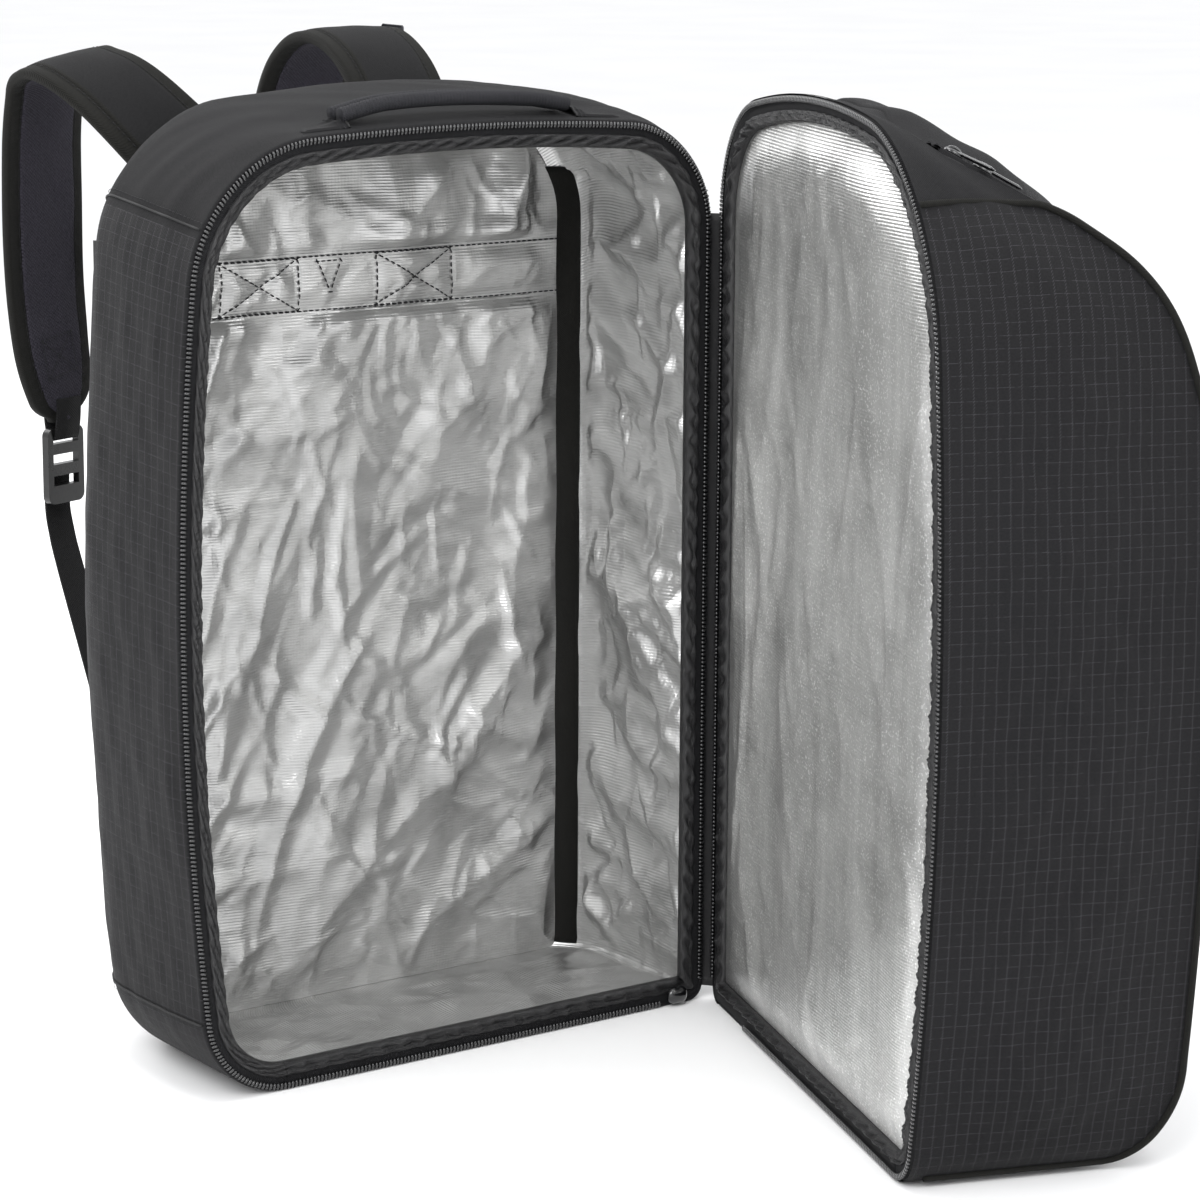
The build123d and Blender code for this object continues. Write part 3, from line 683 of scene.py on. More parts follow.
# back panel with the padding behind it
back_rim = outline(body_spec(BACK), 0.0035, RISE)
half_w = body_spec(BACK)["w"] / 2
X, Zs = face_grid(back_rim, 150, 100)
edge = np.minimum(smooth(0.0, 0.05, Zs), 1.0)
kx = np.abs(X) / half_w
ky = np.abs(Zs - 0.25) / 0.25
dome = np.clip(1 - kx ** 4, 0, 1) * np.clip(1 - ky ** 6, 0, 1)
ribs = 0.0035 * np.abs(np.sin(PI * (X + 0.0) / 0.075)) * smooth(0.04, 0.1, Zs) * (1 - smooth(0.34, 0.39, Zs)) * dome
Y = BACK - 0.0006 + 0.0038 * dome ** 0.7 + ribs + 0.0005 * waves(X, Zs, 11, 0.06) * dome
back = grid("back_quilt", np.stack([X, Y, Zs], axis=-1), np.stack([X, Zs], axis=-1), M["top"], "shell")
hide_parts("back_panel", "back_foam", "frame_sheet")
for i, x in enumerate((-0.075, 0.0, 0.075)):
    pth = [(x, BACK + 0.0036, z) for z in np.linspace(0.07, 0.36, 60)]
    stitches("back_channel_%d" % i, pth, (0, 1, 0), "shell")

pip = body_rim(-0.0008, 0.0640)
keep = pip[:, 2] > 0.046
order = np.roll(np.arange(len(pip)), -int(np.argmax(keep)) if keep[0] else -int(np.argmax(keep)))
pip = pip[order][keep[order]]
piping = tube("back_edge_piping", pip, 0.0021, M["binding"], "shell", sides=10)
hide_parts("back_piping")

# ------------------------------------------------------------------ body lining
inner = outline(BODY, 0.0042)
n_in = normals_2d(inner)
ys = np.linspace(-0.0605, 0.0592, 110)
cols = []
s_in = run_length(inner)[:-1]
for y in ys:
    r = body_rim(0.0042, y)
    t = (y + 0.0605) / 0.1197
    tail = np.where(r[:, 2] > 0.485, 1 - smooth(0.90, 0.98, t), 1 - smooth(0.80, 0.89, t))
    win = smooth(0.0, 0.10, t) * tail * (0.35 + 0.65 * smooth(0.002, 0.04, r[:, 2]))
    yy = np.full_like(s_in, y)
    fold = 0.0014 * (1 + waves(s_in, yy * 1.2, 21, 0.16)) \
        + creases(s_in, yy, 22, (0, s_in.max(), -0.06, 0.05), 260, 0.040, 0.010, 0.0046) \
        + creases(s_in, yy, 23, (0, s_in.max(), -0.06, 0.05), 90, 0.070, 0.022, 0.0062, 0.9)
    fold = np.maximum(fold + creases(s_in, yy, 24, (0, s_in.max(), -0.06, 0.05), 420, 0.022, 0.0055, 0.0020), -0.0012) * win
    r = r - np.column_stack([n_in[:, 0] * fold, np.zeros(len(r)), n_in[:, 1] * fold])
    cols.append(r)
P = np.stack(cols, axis=1)
s_loop = run_length(inner)
uv = np.stack([np.repeat(ys[None], len(s_loop), axis=0), np.repeat(s_loop[:, None], len(ys), axis=1)], axis=-1)
walls = grid("lining_wall_cloth", P, uv, M["lining"], "shell", wrap=True)
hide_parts("lining_walls")

Xb, Zb = face_grid(outline(body_spec(0.0594), 0.0036, RISE * 0.93), 260, 170)
half_w = body_spec(0.0594)["w"] / 2
span = (-0.15, 0.15, 0.0, 0.53)
fold = 0.0016 * (1 + waves(Xb, Zb, 31, 0.20)) \
    + creases(Xb, Zb, 32, span, 130, 0.045, 0.011, 0.0042) \
    + creases(Xb, Zb, 33, span, 44, 0.085, 0.024, 0.0064, 1.2) \
    + creases(Xb, Zb, 34, (-0.14, 0.14, 0.39, 0.47), 46, 0.020, 0.007, 0.0020, 1.57) \
    + creases(Xb, Zb, 35, (-0.14, 0.14, 0.45, 0.52), 16, 0.060, 0.016, 0.0048, 1.45)
rim_win = smooth(0.002, 0.028, np.minimum(half_w - np.abs(Xb), np.minimum(Zb, 0.515 - Zb)))
puff = 0.0030 * np.abs(np.sin(PI * (Zb - 0.414) / 0.031)) * ((Zb > 0.400) & (Zb < 0.4605)) \
    * (0.55 + 0.45 * waves(Xb, Zb * 0.2, 37, 0.05))
for cx in (-0.060, 0.044):
    px, pz = (Xb - cx) / 0.026, (Zb - 0.4295) / 0.0155
    inside = (np.abs(px) < 1) & (np.abs(pz) < 1)
    cut = np.minimum(np.abs(px - pz), np.abs(px + pz))
    puff = np.where(inside, 0.0026 * np.minimum(1, cut * 1.6) * (1 - np.maximum(np.abs(px), np.abs(pz)) ** 4), puff)
quiet = 1 - 0.9 * np.exp(-((Zb - 0.414) / 0.005) ** 2) - 0.9 * np.exp(-((Zb - 0.445) / 0.005) ** 2)
band = np.exp(-((Zb - 0.4295) / 0.0165) ** 6)
fold = fold * (1 - 0.75 * band) + np.maximum(puff, 0) * np.exp(-((Zb - 0.4295) / 0.030) ** 8)
fold = fold + creases(Xb, Zb, 36, span, 420, 0.024, 0.0055, 0.0020)
Yb = 0.0594 - np.maximum(fold, -0.0025) * rim_win * quiet
lining_back = grid("lining_back_cloth", np.stack([Xb, Yb, Zb], axis=-1), np.stack([Xb, Zb], axis=-1), M["lining"], "shell", flip=True)
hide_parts("lining_back")


def back_y(x, z):
    # height of the back lining at a point, so that stitching lies on it
    i = np.argmin(np.abs(Zb[:, 0] - z))
    return np.interp(x, Xb[i], Yb[i])


def on_back(pts, name):
    path = resample(np.asarray([(x, 0.0, z) for x, z in pts], float), 0.002, False)
    path[:, 1] = [back_y(x, z) - 0.0004 for x, _, z in path]
    stitches(name, path, (0, -1, 0), "shell", length=0.0030, step=0.0040, radius=0.0004)


for i, z in enumerate((0.414, 0.445)):
    on_back([(-0.145, z), (0.150, z)], "back_wall_stitch_%d" % i)
for i, x in enumerate((-0.060, 0.044)):
    a, b, lo_, hi_ = x - 0.026, x + 0.026, 0.4145, 0.4445
    on_back([(a, lo_), (b, lo_), (b, hi_), (a, hi_), (a, lo_)], "anchor_box_%d" % i)
    on_back([(a, lo_), (b, hi_)], "anchor_cross_a_%d" % i)
    on_back([(a, hi_), (b, lo_)], "anchor_cross_b_%d" % i)
on_back([(-0.021, 0.442), (-0.005, 0.442), (-0.013, 0.424), (-0.021, 0.442)], "centre_bartack")

# bindings in the two inner back corners
for tag, sgn, node in (("left", -1, "corner_binding_left"), ("right", 1, "corner_binding_right")):
    b_lo, b_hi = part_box(node)
    zs = np.linspace(0.0075, b_hi[2] + 0.0280, 110)
    ends = []
    for y in (0.0592, 0.0462):
        xl, xr, _, _ = scan(outline(body_spec(y), 0.0050, RISE * 0.9))
        ends.append(np.column_stack([xl(zs) if sgn < 0 else xr(zs), np.full(110, y), zs]))
    C = ends[0]
    A = ends[1] - ends[0]
    A /= np.linalg.norm(A, axis=1)[:, None]
    N = np.cross(A, Z) * -sgn
    C = C + N * (0.0004 + 0.0003 * np.sin(zs * 70))[:, None]
    prof = [(-0.001, 0.0), (-0.001, 0.0014), (0.004, 0.0022), (0.009, 0.0016), (0.0145, 0.0021), (0.0148, 0.0004), (0.007, -0.0004)]
    ob = sweep("corner_binding_tape_" + tag, C, A, N, prof, M["binding"], "shell")
    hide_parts(node)


# ------------------------------------------------------------------ rims: facing, tape and coil
def pucker(s, seed, pitch=0.013):
    r = np.random.default_rng(seed)
    phase = np.interp(s, np.linspace(0, s.max(), 40), np.cumsum(r.uniform(-0.35, 0.35, 40)))
    return np.sin(2 * PI * s / pitch + phase * 2 * PI)


def rim_strips(tag, make_rim, level, sign, body, seed, facing_end=0.0150, slant=0.5):
    # sign: +1 when deeper means larger level
    w = facing_end - 0.0082
    insets = [0.0082, 0.0084, 0.0088] + [0.0082 + w * q for q in (0.2, 0.32, 0.45, 0.58, 0.70, 0.82, 0.92, 0.98)] + [facing_end]
    lift = [0.0006, -0.0008, -0.0014, -0.0015, -0.0012, -0.0009, -0.0008, -0.0008, -0.0006, 0.0002, 0.0014, 0.0034]
    cols = []
    for k, (ins, up) in enumerate(zip(insets, lift)):
        r = make_rim(ins, level)
        s = run_length(r)[:-1]
        across = (ins - 0.0082) / w
        crest = np.clip(pucker(s + (ins - 0.0082) * slant, seed), -0.5, 1.0)
        hump = math.sin(PI * min(max(across, 0.0), 1.0)) ** 0.6
        wav = (-crest * 0.0019 + waves(s, ins * 30, seed + 1, 0.009) * 0.0005) * hump
        r = r + np.multiply.outer((up + 0.0008 + wav) * sign if sign > 0 else (up + 0.0008 + wav) * sign, DIRV[body])
        cols.append(r)
    P = np.stack(cols, axis=1)
    base = make_rim(0.011, level)
    uv = ring_uv(base, np.array(insets))
    ob = grid("%s_facing_strip" % tag, P, uv, M["facing"], body, wrap=True, flip=sign < 0, thick=0.0006)
    # tape beside the coil
    ti = [0.0006, 0.0012, 0.0046, 0.0060, 0.0078, 0.0092]
    tl = [0.0016, 0.0006, 0.0005, 0.0004, 0.0006, 0.0009]
    cols = [make_rim(a, level) + np.multiply.outer(np.full(len(base), b * sign), DIRV[body]) for a, b in zip(ti, tl)]
    tp = grid("%s_zip_tape_strip" % tag, np.stack(cols, axis=1), ring_uv(base, np.array(ti)), M["tape"], body, wrap=True,
              flip=sign < 0, thick=0.0005)
    return ob, tp


DIRV = {"shell": np.array([0.0, 1.0, 0.0]), "door": V}

f1, t1 = rim_strips("body", body_rim, -0.0650, 1, "shell", 41)
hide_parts("body_zip_facing")
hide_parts("body_zip_tape")
c1 = coil("body_zip_coil", None, 0.0027, np.array([0.0, -1.0, 0.0]), "shell", body_rim, -0.0661,
          keep=lambda p: ~((p[:, 2] < 0.012) & (p[:, 0] > 0.135)))
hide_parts("body_zip_teeth")
stitches("body_facing_stitch", body_rim(0.0105, -0.0662), (0, -1, 0), "shell", length=0.0016, step=0.0031, radius=0.00028, closed=True)

f2, t2 = rim_strips("door", door_rim, 0.0032, 1, "door", 43, slant=1.4)
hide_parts("door_zip_facing")
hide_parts("door_zip_tape")
c2 = coil("door_zip_coil", None, 0.0027, -V, "door", door_rim, 0.0021,
          keep=lambda p: ~((p[:, 2] < 0.014) & (np.linalg.norm(p[:, :2] - HINGE[:2], axis=1) < 0.064)))
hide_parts("door_zip_teeth")
stitches("door_facing_stitch", door_rim(0.0105, 0.0019), tuple(-V), "door", length=0.0016, step=0.0031, radius=0.00028, closed=True)


# ------------------------------------------------------------------ door shell
def arc3(a, b, c, n):
    (ax, ay), (bx, by), (cx, cy) = a, b, c
    d = 2 * (ax * (by - cy) + bx * (cy - ay) + cx * (ay - by))
    ux = ((ax * ax + ay * ay) * (by - cy) + (bx * bx + by * by) * (cy - ay) + (cx * cx + cy * cy) * (ay - by)) / d
    uy = ((ax * ax + ay * ay) * (cx - bx) + (bx * bx + by * by) * (ax - cx) + (cx * cx + cy * cy) * (bx - ax)) / d
    t0, t1 = math.atan2(ay - uy, ax - ux), math.atan2(cy - uy, cx - ux)
    if t1 < t0:
        t1 += 2 * PI
    r = math.hypot(ax - ux, ay - uy)
    return [(ux + r * math.cos(t), uy + r * math.sin(t)) for t in np.linspace(t0, t1, n)]


def spline(pts, per=10):
    # Catmull-Rom through the points
    p = np.asarray(pts, float)
    q = np.vstack([2 * p[0] - p[1], p, 2 * p[-1] - p[-2]])
    out = []
    for i in range(1, len(q) - 2):
        for t in np.linspace(0, 1, per, endpoint=False):
            a, b, c, d = q[i - 1:i + 3]
            out.append(0.5 * (2 * b + (c - a) * t + (2 * a - 5 * b + 4 * c - d) * t * t + (3 * b - a - 3 * c + d) * t ** 3))
    out.append(p[-1])
    return np.array(out)


D = [(4, 0), (92, 0)] + arc3((92, 0), (131.5, 17), (148, 62), 24)[1:] + [(148, 330)]
D += [tuple(q) for q in spline([(148, 330), (146, 372), (141, 408), (128, 450), (110, 477), (84, 497.5)], 8)[1:]]
D.append((28, 527.5))
D = resample(np.array(D) / 1000.0, 0.0028, False)
ridge = np.linspace(0, 1, 70)[1:, None] ** 0.7
D = np.vstack([D, (1 - ridge) * D[-1] + ridge * np.array([0.0, 0.5517])])
d_t = np.gradient(D, axis=0)
d_t /= np.linalg.norm(d_t, axis=1)[:, None]
d_n = np.column_stack([d_t[:, 1], -d_t[:, 0]])
d_s = np.concatenate([[0], np.cumsum(np.linalg.norm(np.diff(D, axis=0), axis=1))])
d_first = int(np.argmax(D[:, 1] > 1e-6))


def depth_at(z):
    return np.interp(z, D[d_first - 1:, 1], D[d_first - 1:, 0])


door_out = outline(DOOR)
door_n = normals_2d(door_out)
dxl, dxr, _, dz_top = scan(door_out)
ts = np.concatenate([[0.0], np.linspace(0.02, 1, 46)])
rows, uvr = [], []
s_d = run_length(door_out)
side_ids = list(range(SIDES[0] - 1, len(door_out))) + [0]
for i in side_ids:
    x, z = door_out[i]
    vmax = max(depth_at(z), 0.0048)
    v = 0.0034 + (vmax - 0.0034) * ts
    win = np.sin(PI * np.clip(ts, 0, 1)) * smooth(0.0, 0.05, z)
    amp = (0.0035 * np.sin(PI * ts) ** 0.8 + 0.0011 * waves(np.full_like(v, z), v * 1.6 + x, 51, 0.08)
           + 0.0005 * waves(np.full_like(v, z), v * 2 + x, 52, 0.033)) * win * min(1.0, vmax / 0.09)
    rows.append(door_point(np.full_like(v, x) + door_n[i, 0] * amp, v, np.full_like(v, z) + door_n[i, 1] * amp))
    uvr.append(np.column_stack([v, np.full_like(v, s_d[i])]))
zz = np.array([door_out[i, 1] for i in side_ids])
door_side = grid("door_gusset_fabric", np.stack(rows), np.stack(uvr), [M["side"], M["top"]], "door",
                 mat_rows=(zz > 0.507).astype(int))
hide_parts("door_free_side_panel", "door_hinge_side_panel", "door_top_panel")

use = [i for i in range(len(D)) if D[i, 1] < dz_top - 0.0005]
kk = np.linspace(0, 1, 84)
rows, uvr = [], []
for i in use:
    v, z = D[i]
    L, R = dxl(z), dxr(z)
    x = L + (R - L) * kk
    win = np.clip(1 - (2 * kk - 1) ** 6, 0, 1) * smooth(0.0, 0.06, z) * smooth(0.0, 0.02, dz_top - z)
    amp = (0.0042 * np.sin(PI * kk) ** 0.6 + 0.0011 * waves(x, np.full_like(x, d_s[i]), 61, 0.09)
           + 0.0005 * waves(x, np.full_like(x, d_s[i]), 62, 0.035)) * win
    crown = 0.019 * smooth(0.24, 0.48, kk) * (1 - smooth(0.72, 0.97, kk)) * smooth(0.0, 0.045, v) * smooth(0.36, 0.47, z)
    amp = amp + crown
    rows.append(door_point(x, v + d_n[i, 0] * amp, z + d_n[i, 1] * amp))
    uvr.append(np.column_stack([x, np.full_like(x, d_s[i])]))
roof_rows = np.array([1 if (D[i, 1] > 0.49) else 0 for i in use])
door_front = grid("door_front_fabric", np.stack(rows), np.stack(uvr), [M["side"], M["top"]], "door", flip=False, mat_rows=roof_rows)
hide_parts("door_front_panel", "door_base_panel")

# piping along the edge between the gusset and the front
for tag, xs, node in (("free", dxl, "door_piping_free"), ("hinge", dxr, "door_piping_hinge")):
    path, nrm = [], []
    sgn = -1 if tag == "free" else 1
    for i in use:
        v, z = D[i]
        if z < 0.030 and v < 0.010:
            continue
        z = max(z, 0.006)
        if v < 0.070 and z > 0.3:
            break
        path.append(door_point(np.array([xs(z) + sgn * 0.0004]), v + d_n[i, 0] * 0.0006, z + d_n[i, 1] * 0.0006)[0])
    for v in np.linspace(0.066, 0.004, 16):
        z = 0.507 + 0.001 * math.sin(v * 60)
        path.append(door_point(np.array([xs(z) + sgn * 0.0006]), v, z)[0])
    ob = tube("door_edge_piping_" + tag, resample(spline(np.array(path)[::3], 4), 0.003, False), 0.0019, M["binding"], "door", sides=10)
    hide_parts(node)

# divider lining seen from the boot compartment
door_in = outline(DOOR, 0.0130)
Xd, Zd = face_grid(door_in, 190, 120)
near = resample(door_in, 0.003)
gap = np.min(np.hypot(Xd[..., None] - near[None, None, :, 0], Zd[..., None] - near[None, None, :, 1]), axis=-1)
win = smooth(0.004, 0.03, gap)
slack = 0.0022 + 0.0012 * waves(Xd * 1.6, Zd * 0.5, 71, 0.16) \
    + creases(Xd, Zd, 74, (-0.16, 0.16, 0.0, 0.53), 60, 0.090, 0.010, 0.0018, 1.45) \
    + creases(Xd, Zd, 75, (-0.16, 0.16, 0.0, 0.53), 70, 0.030, 0.007, 0.0009)
Vd = 0.0068 - 0.0024 * smooth(0.001, 0.020, gap) - win * slack
divider = grid("door_divider_cloth", HINGE + (WIDTH / 2 - Xd)[..., None] * U + Vd[..., None] * V + Zd[..., None] * Z,
               np.stack([Xd, Zd], axis=-1), M["lining_door"], "door", flip=False)
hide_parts("door_lining", "door_divider_foam", "door_pocket_lining")

# ------------------------------------------------------------------ hinge strip
zs = np.linspace(0.008, 0.470, 80)
a0 = np.array([WIDTH / 2 - 0.0002, -0.0640])
b0 = (HINGE + V * 0.0040)[:2] + np.array([0.0003, 0.0])
prof = spline([tuple(a0 + (0, 0.004)), tuple(a0), (AXIS[0] + 0.0016, AXIS[1] + 0.0006), tuple(b0), tuple(b0 + V[:2] * 0.004)], 6)
P = np.array([[(x + 0.0003 * math.sin(z * 240), y, z) for x, y in prof] for z in zs])
hs = np.concatenate([[0], np.cumsum(np.linalg.norm(np.diff(prof, axis=0), axis=1))])
uv = np.stack([np.repeat(hs[None], len(zs), axis=0), np.repeat(zs[:, None], len(hs), axis=1)], axis=-1)
hinge = grid("hinge_cloth", P, uv, M["facing"], None, thick=0.0007)
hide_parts("hinge_seam")
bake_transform(hinge)

# ------------------------------------------------------------------ shoulder straps
LEFT_STRAP = [(-57, 77, 412, 0, 0, 60), (-58, 76.5, 432, 0, 4, 62), (-66, 78, 462, 2, 14, 64), (-84, 84, 494, 6, 22, 64),
              (-104, 98, 521, 12, 26, 63), (-118, 118, 541, 17, 22, 63), (-126, 140, 551, 21, 14, 64),
              (-128, 160, 552, 23, 7, 66), (-127, 180, 541, 23, 2, 66), (-124, 195, 512, 21, 0, 66),
              (-120, 205, 466, 19, 0, 66), (-116, 212, 422, 18, 0, 64), (-111, 216, 385, 18, 0, 62),
              (-106, 218, 360, 18, 0, 56), (-103, 219, 337, 18, 0, 42)]
RIGHT_STRAP = [(57, 77, 412, 0, 1, 60), (57.2, 76.5, 432, 0, 1, 62), (57.6, 77.5, 466, 1, 2, 66), (58, 83, 502, 1, 2, 66),
               (58.2, 97, 533, 1, 2, 66), (58.4, 118, 553, 0, 1, 66), (58, 144, 563, -1, 1, 66), (57.6, 170, 559, -2, 0, 66),
               (57.6, 193, 541, -4, 0, 66), (58.4, 208, 510, -7, 0, 66), (61, 214, 466, -10, 0, 66),
               (65, 216, 422, -14, 0, 64), (70, 218, 385, -16, 0, 62), (74, 219, 360, -18, 0, 56), (76, 220, 337, -18, 0, 42)]


def strap_line(sections, per=9):
    rows = spline(np.array(sections, float), per)
    C = rows[:, :3] / 1000
    T = np.gradient(C, axis=0)
    T /= np.linalg.norm(T, axis=1)[:, None]
    t, e = np.radians(rows[:, 3]), np.radians(rows[:, 4])
    A = np.column_stack([np.cos(e) * np.cos(t), np.cos(e) * np.sin(t), np.sin(e)])
    A = A - T * np.sum(A * T, axis=1)[:, None]
    A /= np.linalg.norm(A, axis=1)[:, None]
    return C, T, A, np.cross(T, A), rows[:, 5] / 1000


def strap(tag, sections):
    C, T, A, N, W = strap_line(sections)
    n = len(C)
    s = np.concatenate([[0], np.cumsum(np.linalg.norm(np.diff(C, axis=0), axis=1))])
    # round the tip off
    end = s[-1] - s
    W = (W - 0.003) * np.where(end < 0.014, np.sqrt(np.clip(1 - (1 - end / 0.014) ** 2, 0.30, 1)), 1.0)
    k = [-1.0, -0.985, -0.95, -0.90, -0.84]
    bind = 0.0095
    prof, mats = [], []
    for i in range(n):
        h = W[i] / 2
        xs = [-h, -h + 0.0004, -h + 0.0016, -h + 0.005, -h + bind - 0.0004, -h + bind]
        inner_x = np.linspace(-h + bind + 0.0003, h - bind - 0.0003, 22) if h > bind + 0.002 else np.linspace(-0.001, 0.001, 22)
        xs = np.concatenate([xs, inner_x, [-x for x in xs[::-1]]])
        m = len(xs)
        crown = 0.0050 * (1 - 0.38 * np.abs(xs / h) ** 3)
        dents = 0.0003 * waves(xs * 1.0, s[i], 81, 0.03)
        edge = np.abs(xs) > h - bind - 0.0001
        up = np.where(edge, 0.0036 + 0.0004 * np.sin(s[i] * 800 + xs * 300), crown + dents)
        up[0] = up[-1] = 0.0002
        up[1] = up[-2] = 0.0022
        up[2] = up[-3] = 0.0033
        low = np.where(edge, -0.0036, -crown + dents * 0.5)
        low[1] = low[-2] = -0.0022
        low[2] = low[-3] = -0.0033
        top = np.column_stack([xs, up])
        bot = np.column_stack([xs[1:-1][::-1], low[1:-1][::-1]])
        prof.append(np.vstack([top, bot]))
    cols = [1 if (j < 5 or j >= m - 6) else 0 for j in range(m - 1)] + [1 if (j < 5 or j >= m - 8) else 2 for j in range(m - 1)]
    cols = cols[:2 * m - 2]
    ob = sweep("shoulder_strap_" + tag, C, A, N, prof, [M["mesh"], M["binding"], M["strap"]], "shell", mat_cols=cols)
    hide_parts("strap_foam_" + tag, "strap_mesh_" + tag, "strap_fabric_" + tag)
    for side in (-1, 1):
        for face in (-1, 1):
            line = C + A * (side * (W / 2 - 0.0082))[:, None] + N * 0.0040 * face
            stitches("strap_stitch_%s_%d_%d" % (tag, side + 1, face + 1), line[:-6], (N[0] * face), "shell", length=0.0026,
                     step=0.0037, radius=0.0003) if False else copies(
                "strap_stitch_%s_%d_%d" % (tag, side + 1, face + 1), bar(0.0026, 0.0003),
                *[np.column_stack([np.interp(np.arange(0.004, s[-1] - 0.02, 0.0037), s, q[:, c]) for c in range(3)])
                  for q in (line, T, N * face)], M["thread"], "shell")
    return C, T, A, N, W, s


SL = strap("left", LEFT_STRAP)
SR = strap("right", RIGHT_STRAP)


def on_strap(S, at, a, h):
    # point at distance at along the strap, a across it, h above its middle
    C, T, A, N, W, s = S
    f = [np.array([np.interp(at, s, q[:, k]) for k in range(3)]) for q in (C, T, A, N)]
    return f[0] + f[2] * a + f[3] * h, f[1], f[2], f[3]


def box_stitch(tag, S, at, half, body, face):
    pts = [(-half, -half), (half, -half), (half, half), (-half, half), (-half, -half)]
    for n_, seq in enumerate((pts, [pts[0], pts[2]], [pts[1], pts[3]])):
        q = resample(np.array([(a, b, 0.0) for a, b in seq]), 0.0030, False)
        P = [on_strap(S, at + b, a, face * 0.0056) for a, b, _ in q]
        pos = np.array([p[0] for p in P])
        t = np.gradient(pos, axis=0)
        nn = np.array([p[3] * face for p in P])
        copies("strap_box_%s_%d" % (tag, n_), bar(0.0023, 0.00035), pos, t, nn, M["thread"], body)


for tag, S in (("left", SL), ("right", SR)):
    for face in (-1, 1):
        box_stitch("%s_%d" % (tag, face + 1), S, S[5][-1] - 0.040, 0.012, "shell", face)

# webbing loops that hold the adjusters under the strap tips
for tag, cx, cy, turn in (("left", -0.103, 0.219, 18), ("right", 0.076, 0.220, -18)):
    t = math.radians(turn)
    ax = np.array([math.cos(t), math.sin(t), 0.0])
    nx = np.array([-math.sin(t), math.cos(t), 0.0])
    path2 = [(0.0062, 0.372), (0.0060, 0.352), (0.0050, 0.338), (0.0040, 0.331), (0.0028, 0.3262), (0.0, 0.3249), (-0.0028, 0.3262),
             (-0.0040, 0.331), (-0.0050, 0.338), (-0.0058, 0.350)]
    C = spline([(cx + nx[0] * d, cy + nx[1] * d, z) for d, z in path2], 8)
    T = np.gradient(C, axis=0)
    T /= np.linalg.norm(T, axis=1)[:, None]
    A = np.broadcast_to(ax, C.shape)
    prof = [(-0.0098, -0.0007), (-0.0098, 0.0007), (0.0098, 0.0007), (0.0098, -0.0007)]
    lp = sweep("adjuster_loop_" + tag, C, A, np.cross(T, A), prof, M["webbing"], "shell")

# lower webbings
LEFT_WEB = [(-104.4, 224.4, 309), (-104.7, 224.8, 285), (-105.4, 219, 269), (-106.8, 206, 249), (-112, 160, 190), (-115, 105, 105),
            (-112, 73, 52)]
RIGHT_WEB = [(77.4, 225.4, 309), (77.8, 225.8, 285), (79, 220, 269), (82, 207, 249), (94, 160, 190), (104, 105, 105), (108, 73, 52)]


def ribbon_profile(w, t):
    h = w / 2
    return [(-h, -t * 0.25), (-h, t * 0.25), (-h + 0.0006, t / 2), (0.0, t / 2), (h - 0.0006, t / 2), (h, t * 0.25), (h, -t * 0.25),
            (h - 0.0006, -t / 2), (0.0, -t / 2), (-h + 0.0006, -t / 2)]


for tag, pts, turn in (("left", LEFT_WEB, 18), ("right", RIGHT_WEB, -18)):
    C = resample(spline(np.array(pts, float) / 1000, 10), 0.0016, False)
    T = np.gradient(C, axis=0)
    T /= np.linalg.norm(T, axis=1)[:, None]
    fade = np.linspace(1, 0.2, len(C))
    ang = np.radians(turn) * fade
    A = np.column_stack([np.cos(ang), np.sin(ang), np.zeros(len(C))])
    A = A - T * np.sum(A * T, axis=1)[:, None]
    A /= np.linalg.norm(A, axis=1)[:, None]
    ob = sweep("adjuster_webbing_" + tag, C, A, np.cross(T, A), ribbon_profile(0.020, 0.0018), M["webbing"], "shell")
    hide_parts("lower_webbing_" + tag)

# ------------------------------------------------------------------ grab handle
h_lo, h_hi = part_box("handle_cord_front")
b_lo, b_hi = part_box("handle_cord_back")


def cord_line(lo_, hi_, dz=0.0):
    y = (lo_[1] + hi_[1]) / 2
    x0, x1 = lo_[0] - 0.003, hi_[0] + 0.003
    z_low, z_top = lo_[2] + 0.0022, hi_[2] - 0.0044
    t = np.linspace(0, 1, 150)
    x = x0 + (x1 - x0) * t
    z = z_low + (z_top - z_low) * (0.30 * smooth(0, 0.2, t) * smooth(0, 0.2, 1 - t) + 0.70 * np.sin(PI * t ** 0.8)) + dz
    return np.column_stack([x, np.full(150, y), z])


for tag, lo_, hi_, node in (("front", h_lo, h_hi, "handle_cord_front"), ("back", b_lo, b_hi, "handle_cord_back")):
    line = resample(spline(cord_line(lo_, hi_)[::6], 8), 0.0006, False)
    ob = tube("grab_cord_" + tag, line, 0.0041, M["cord"], "handle", sides=20, ribs=0.055, pitch=0.0021)
    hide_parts(node)

# fabric tabs that hold the cords down
top_l, top_r, _, top_z = scan(outline(BODY))
top_line = outline(BODY)
top_half = top_line[(top_line[:, 1] > 0.49)]
top_half = top_half[np.argsort(top_half[:, 0])]


def roof_z(x, y=0.0):
    return np.interp(x, top_half[:, 0], top_half[:, 1]) + RISE * (y - FRONT) / DEPTH * 1.1


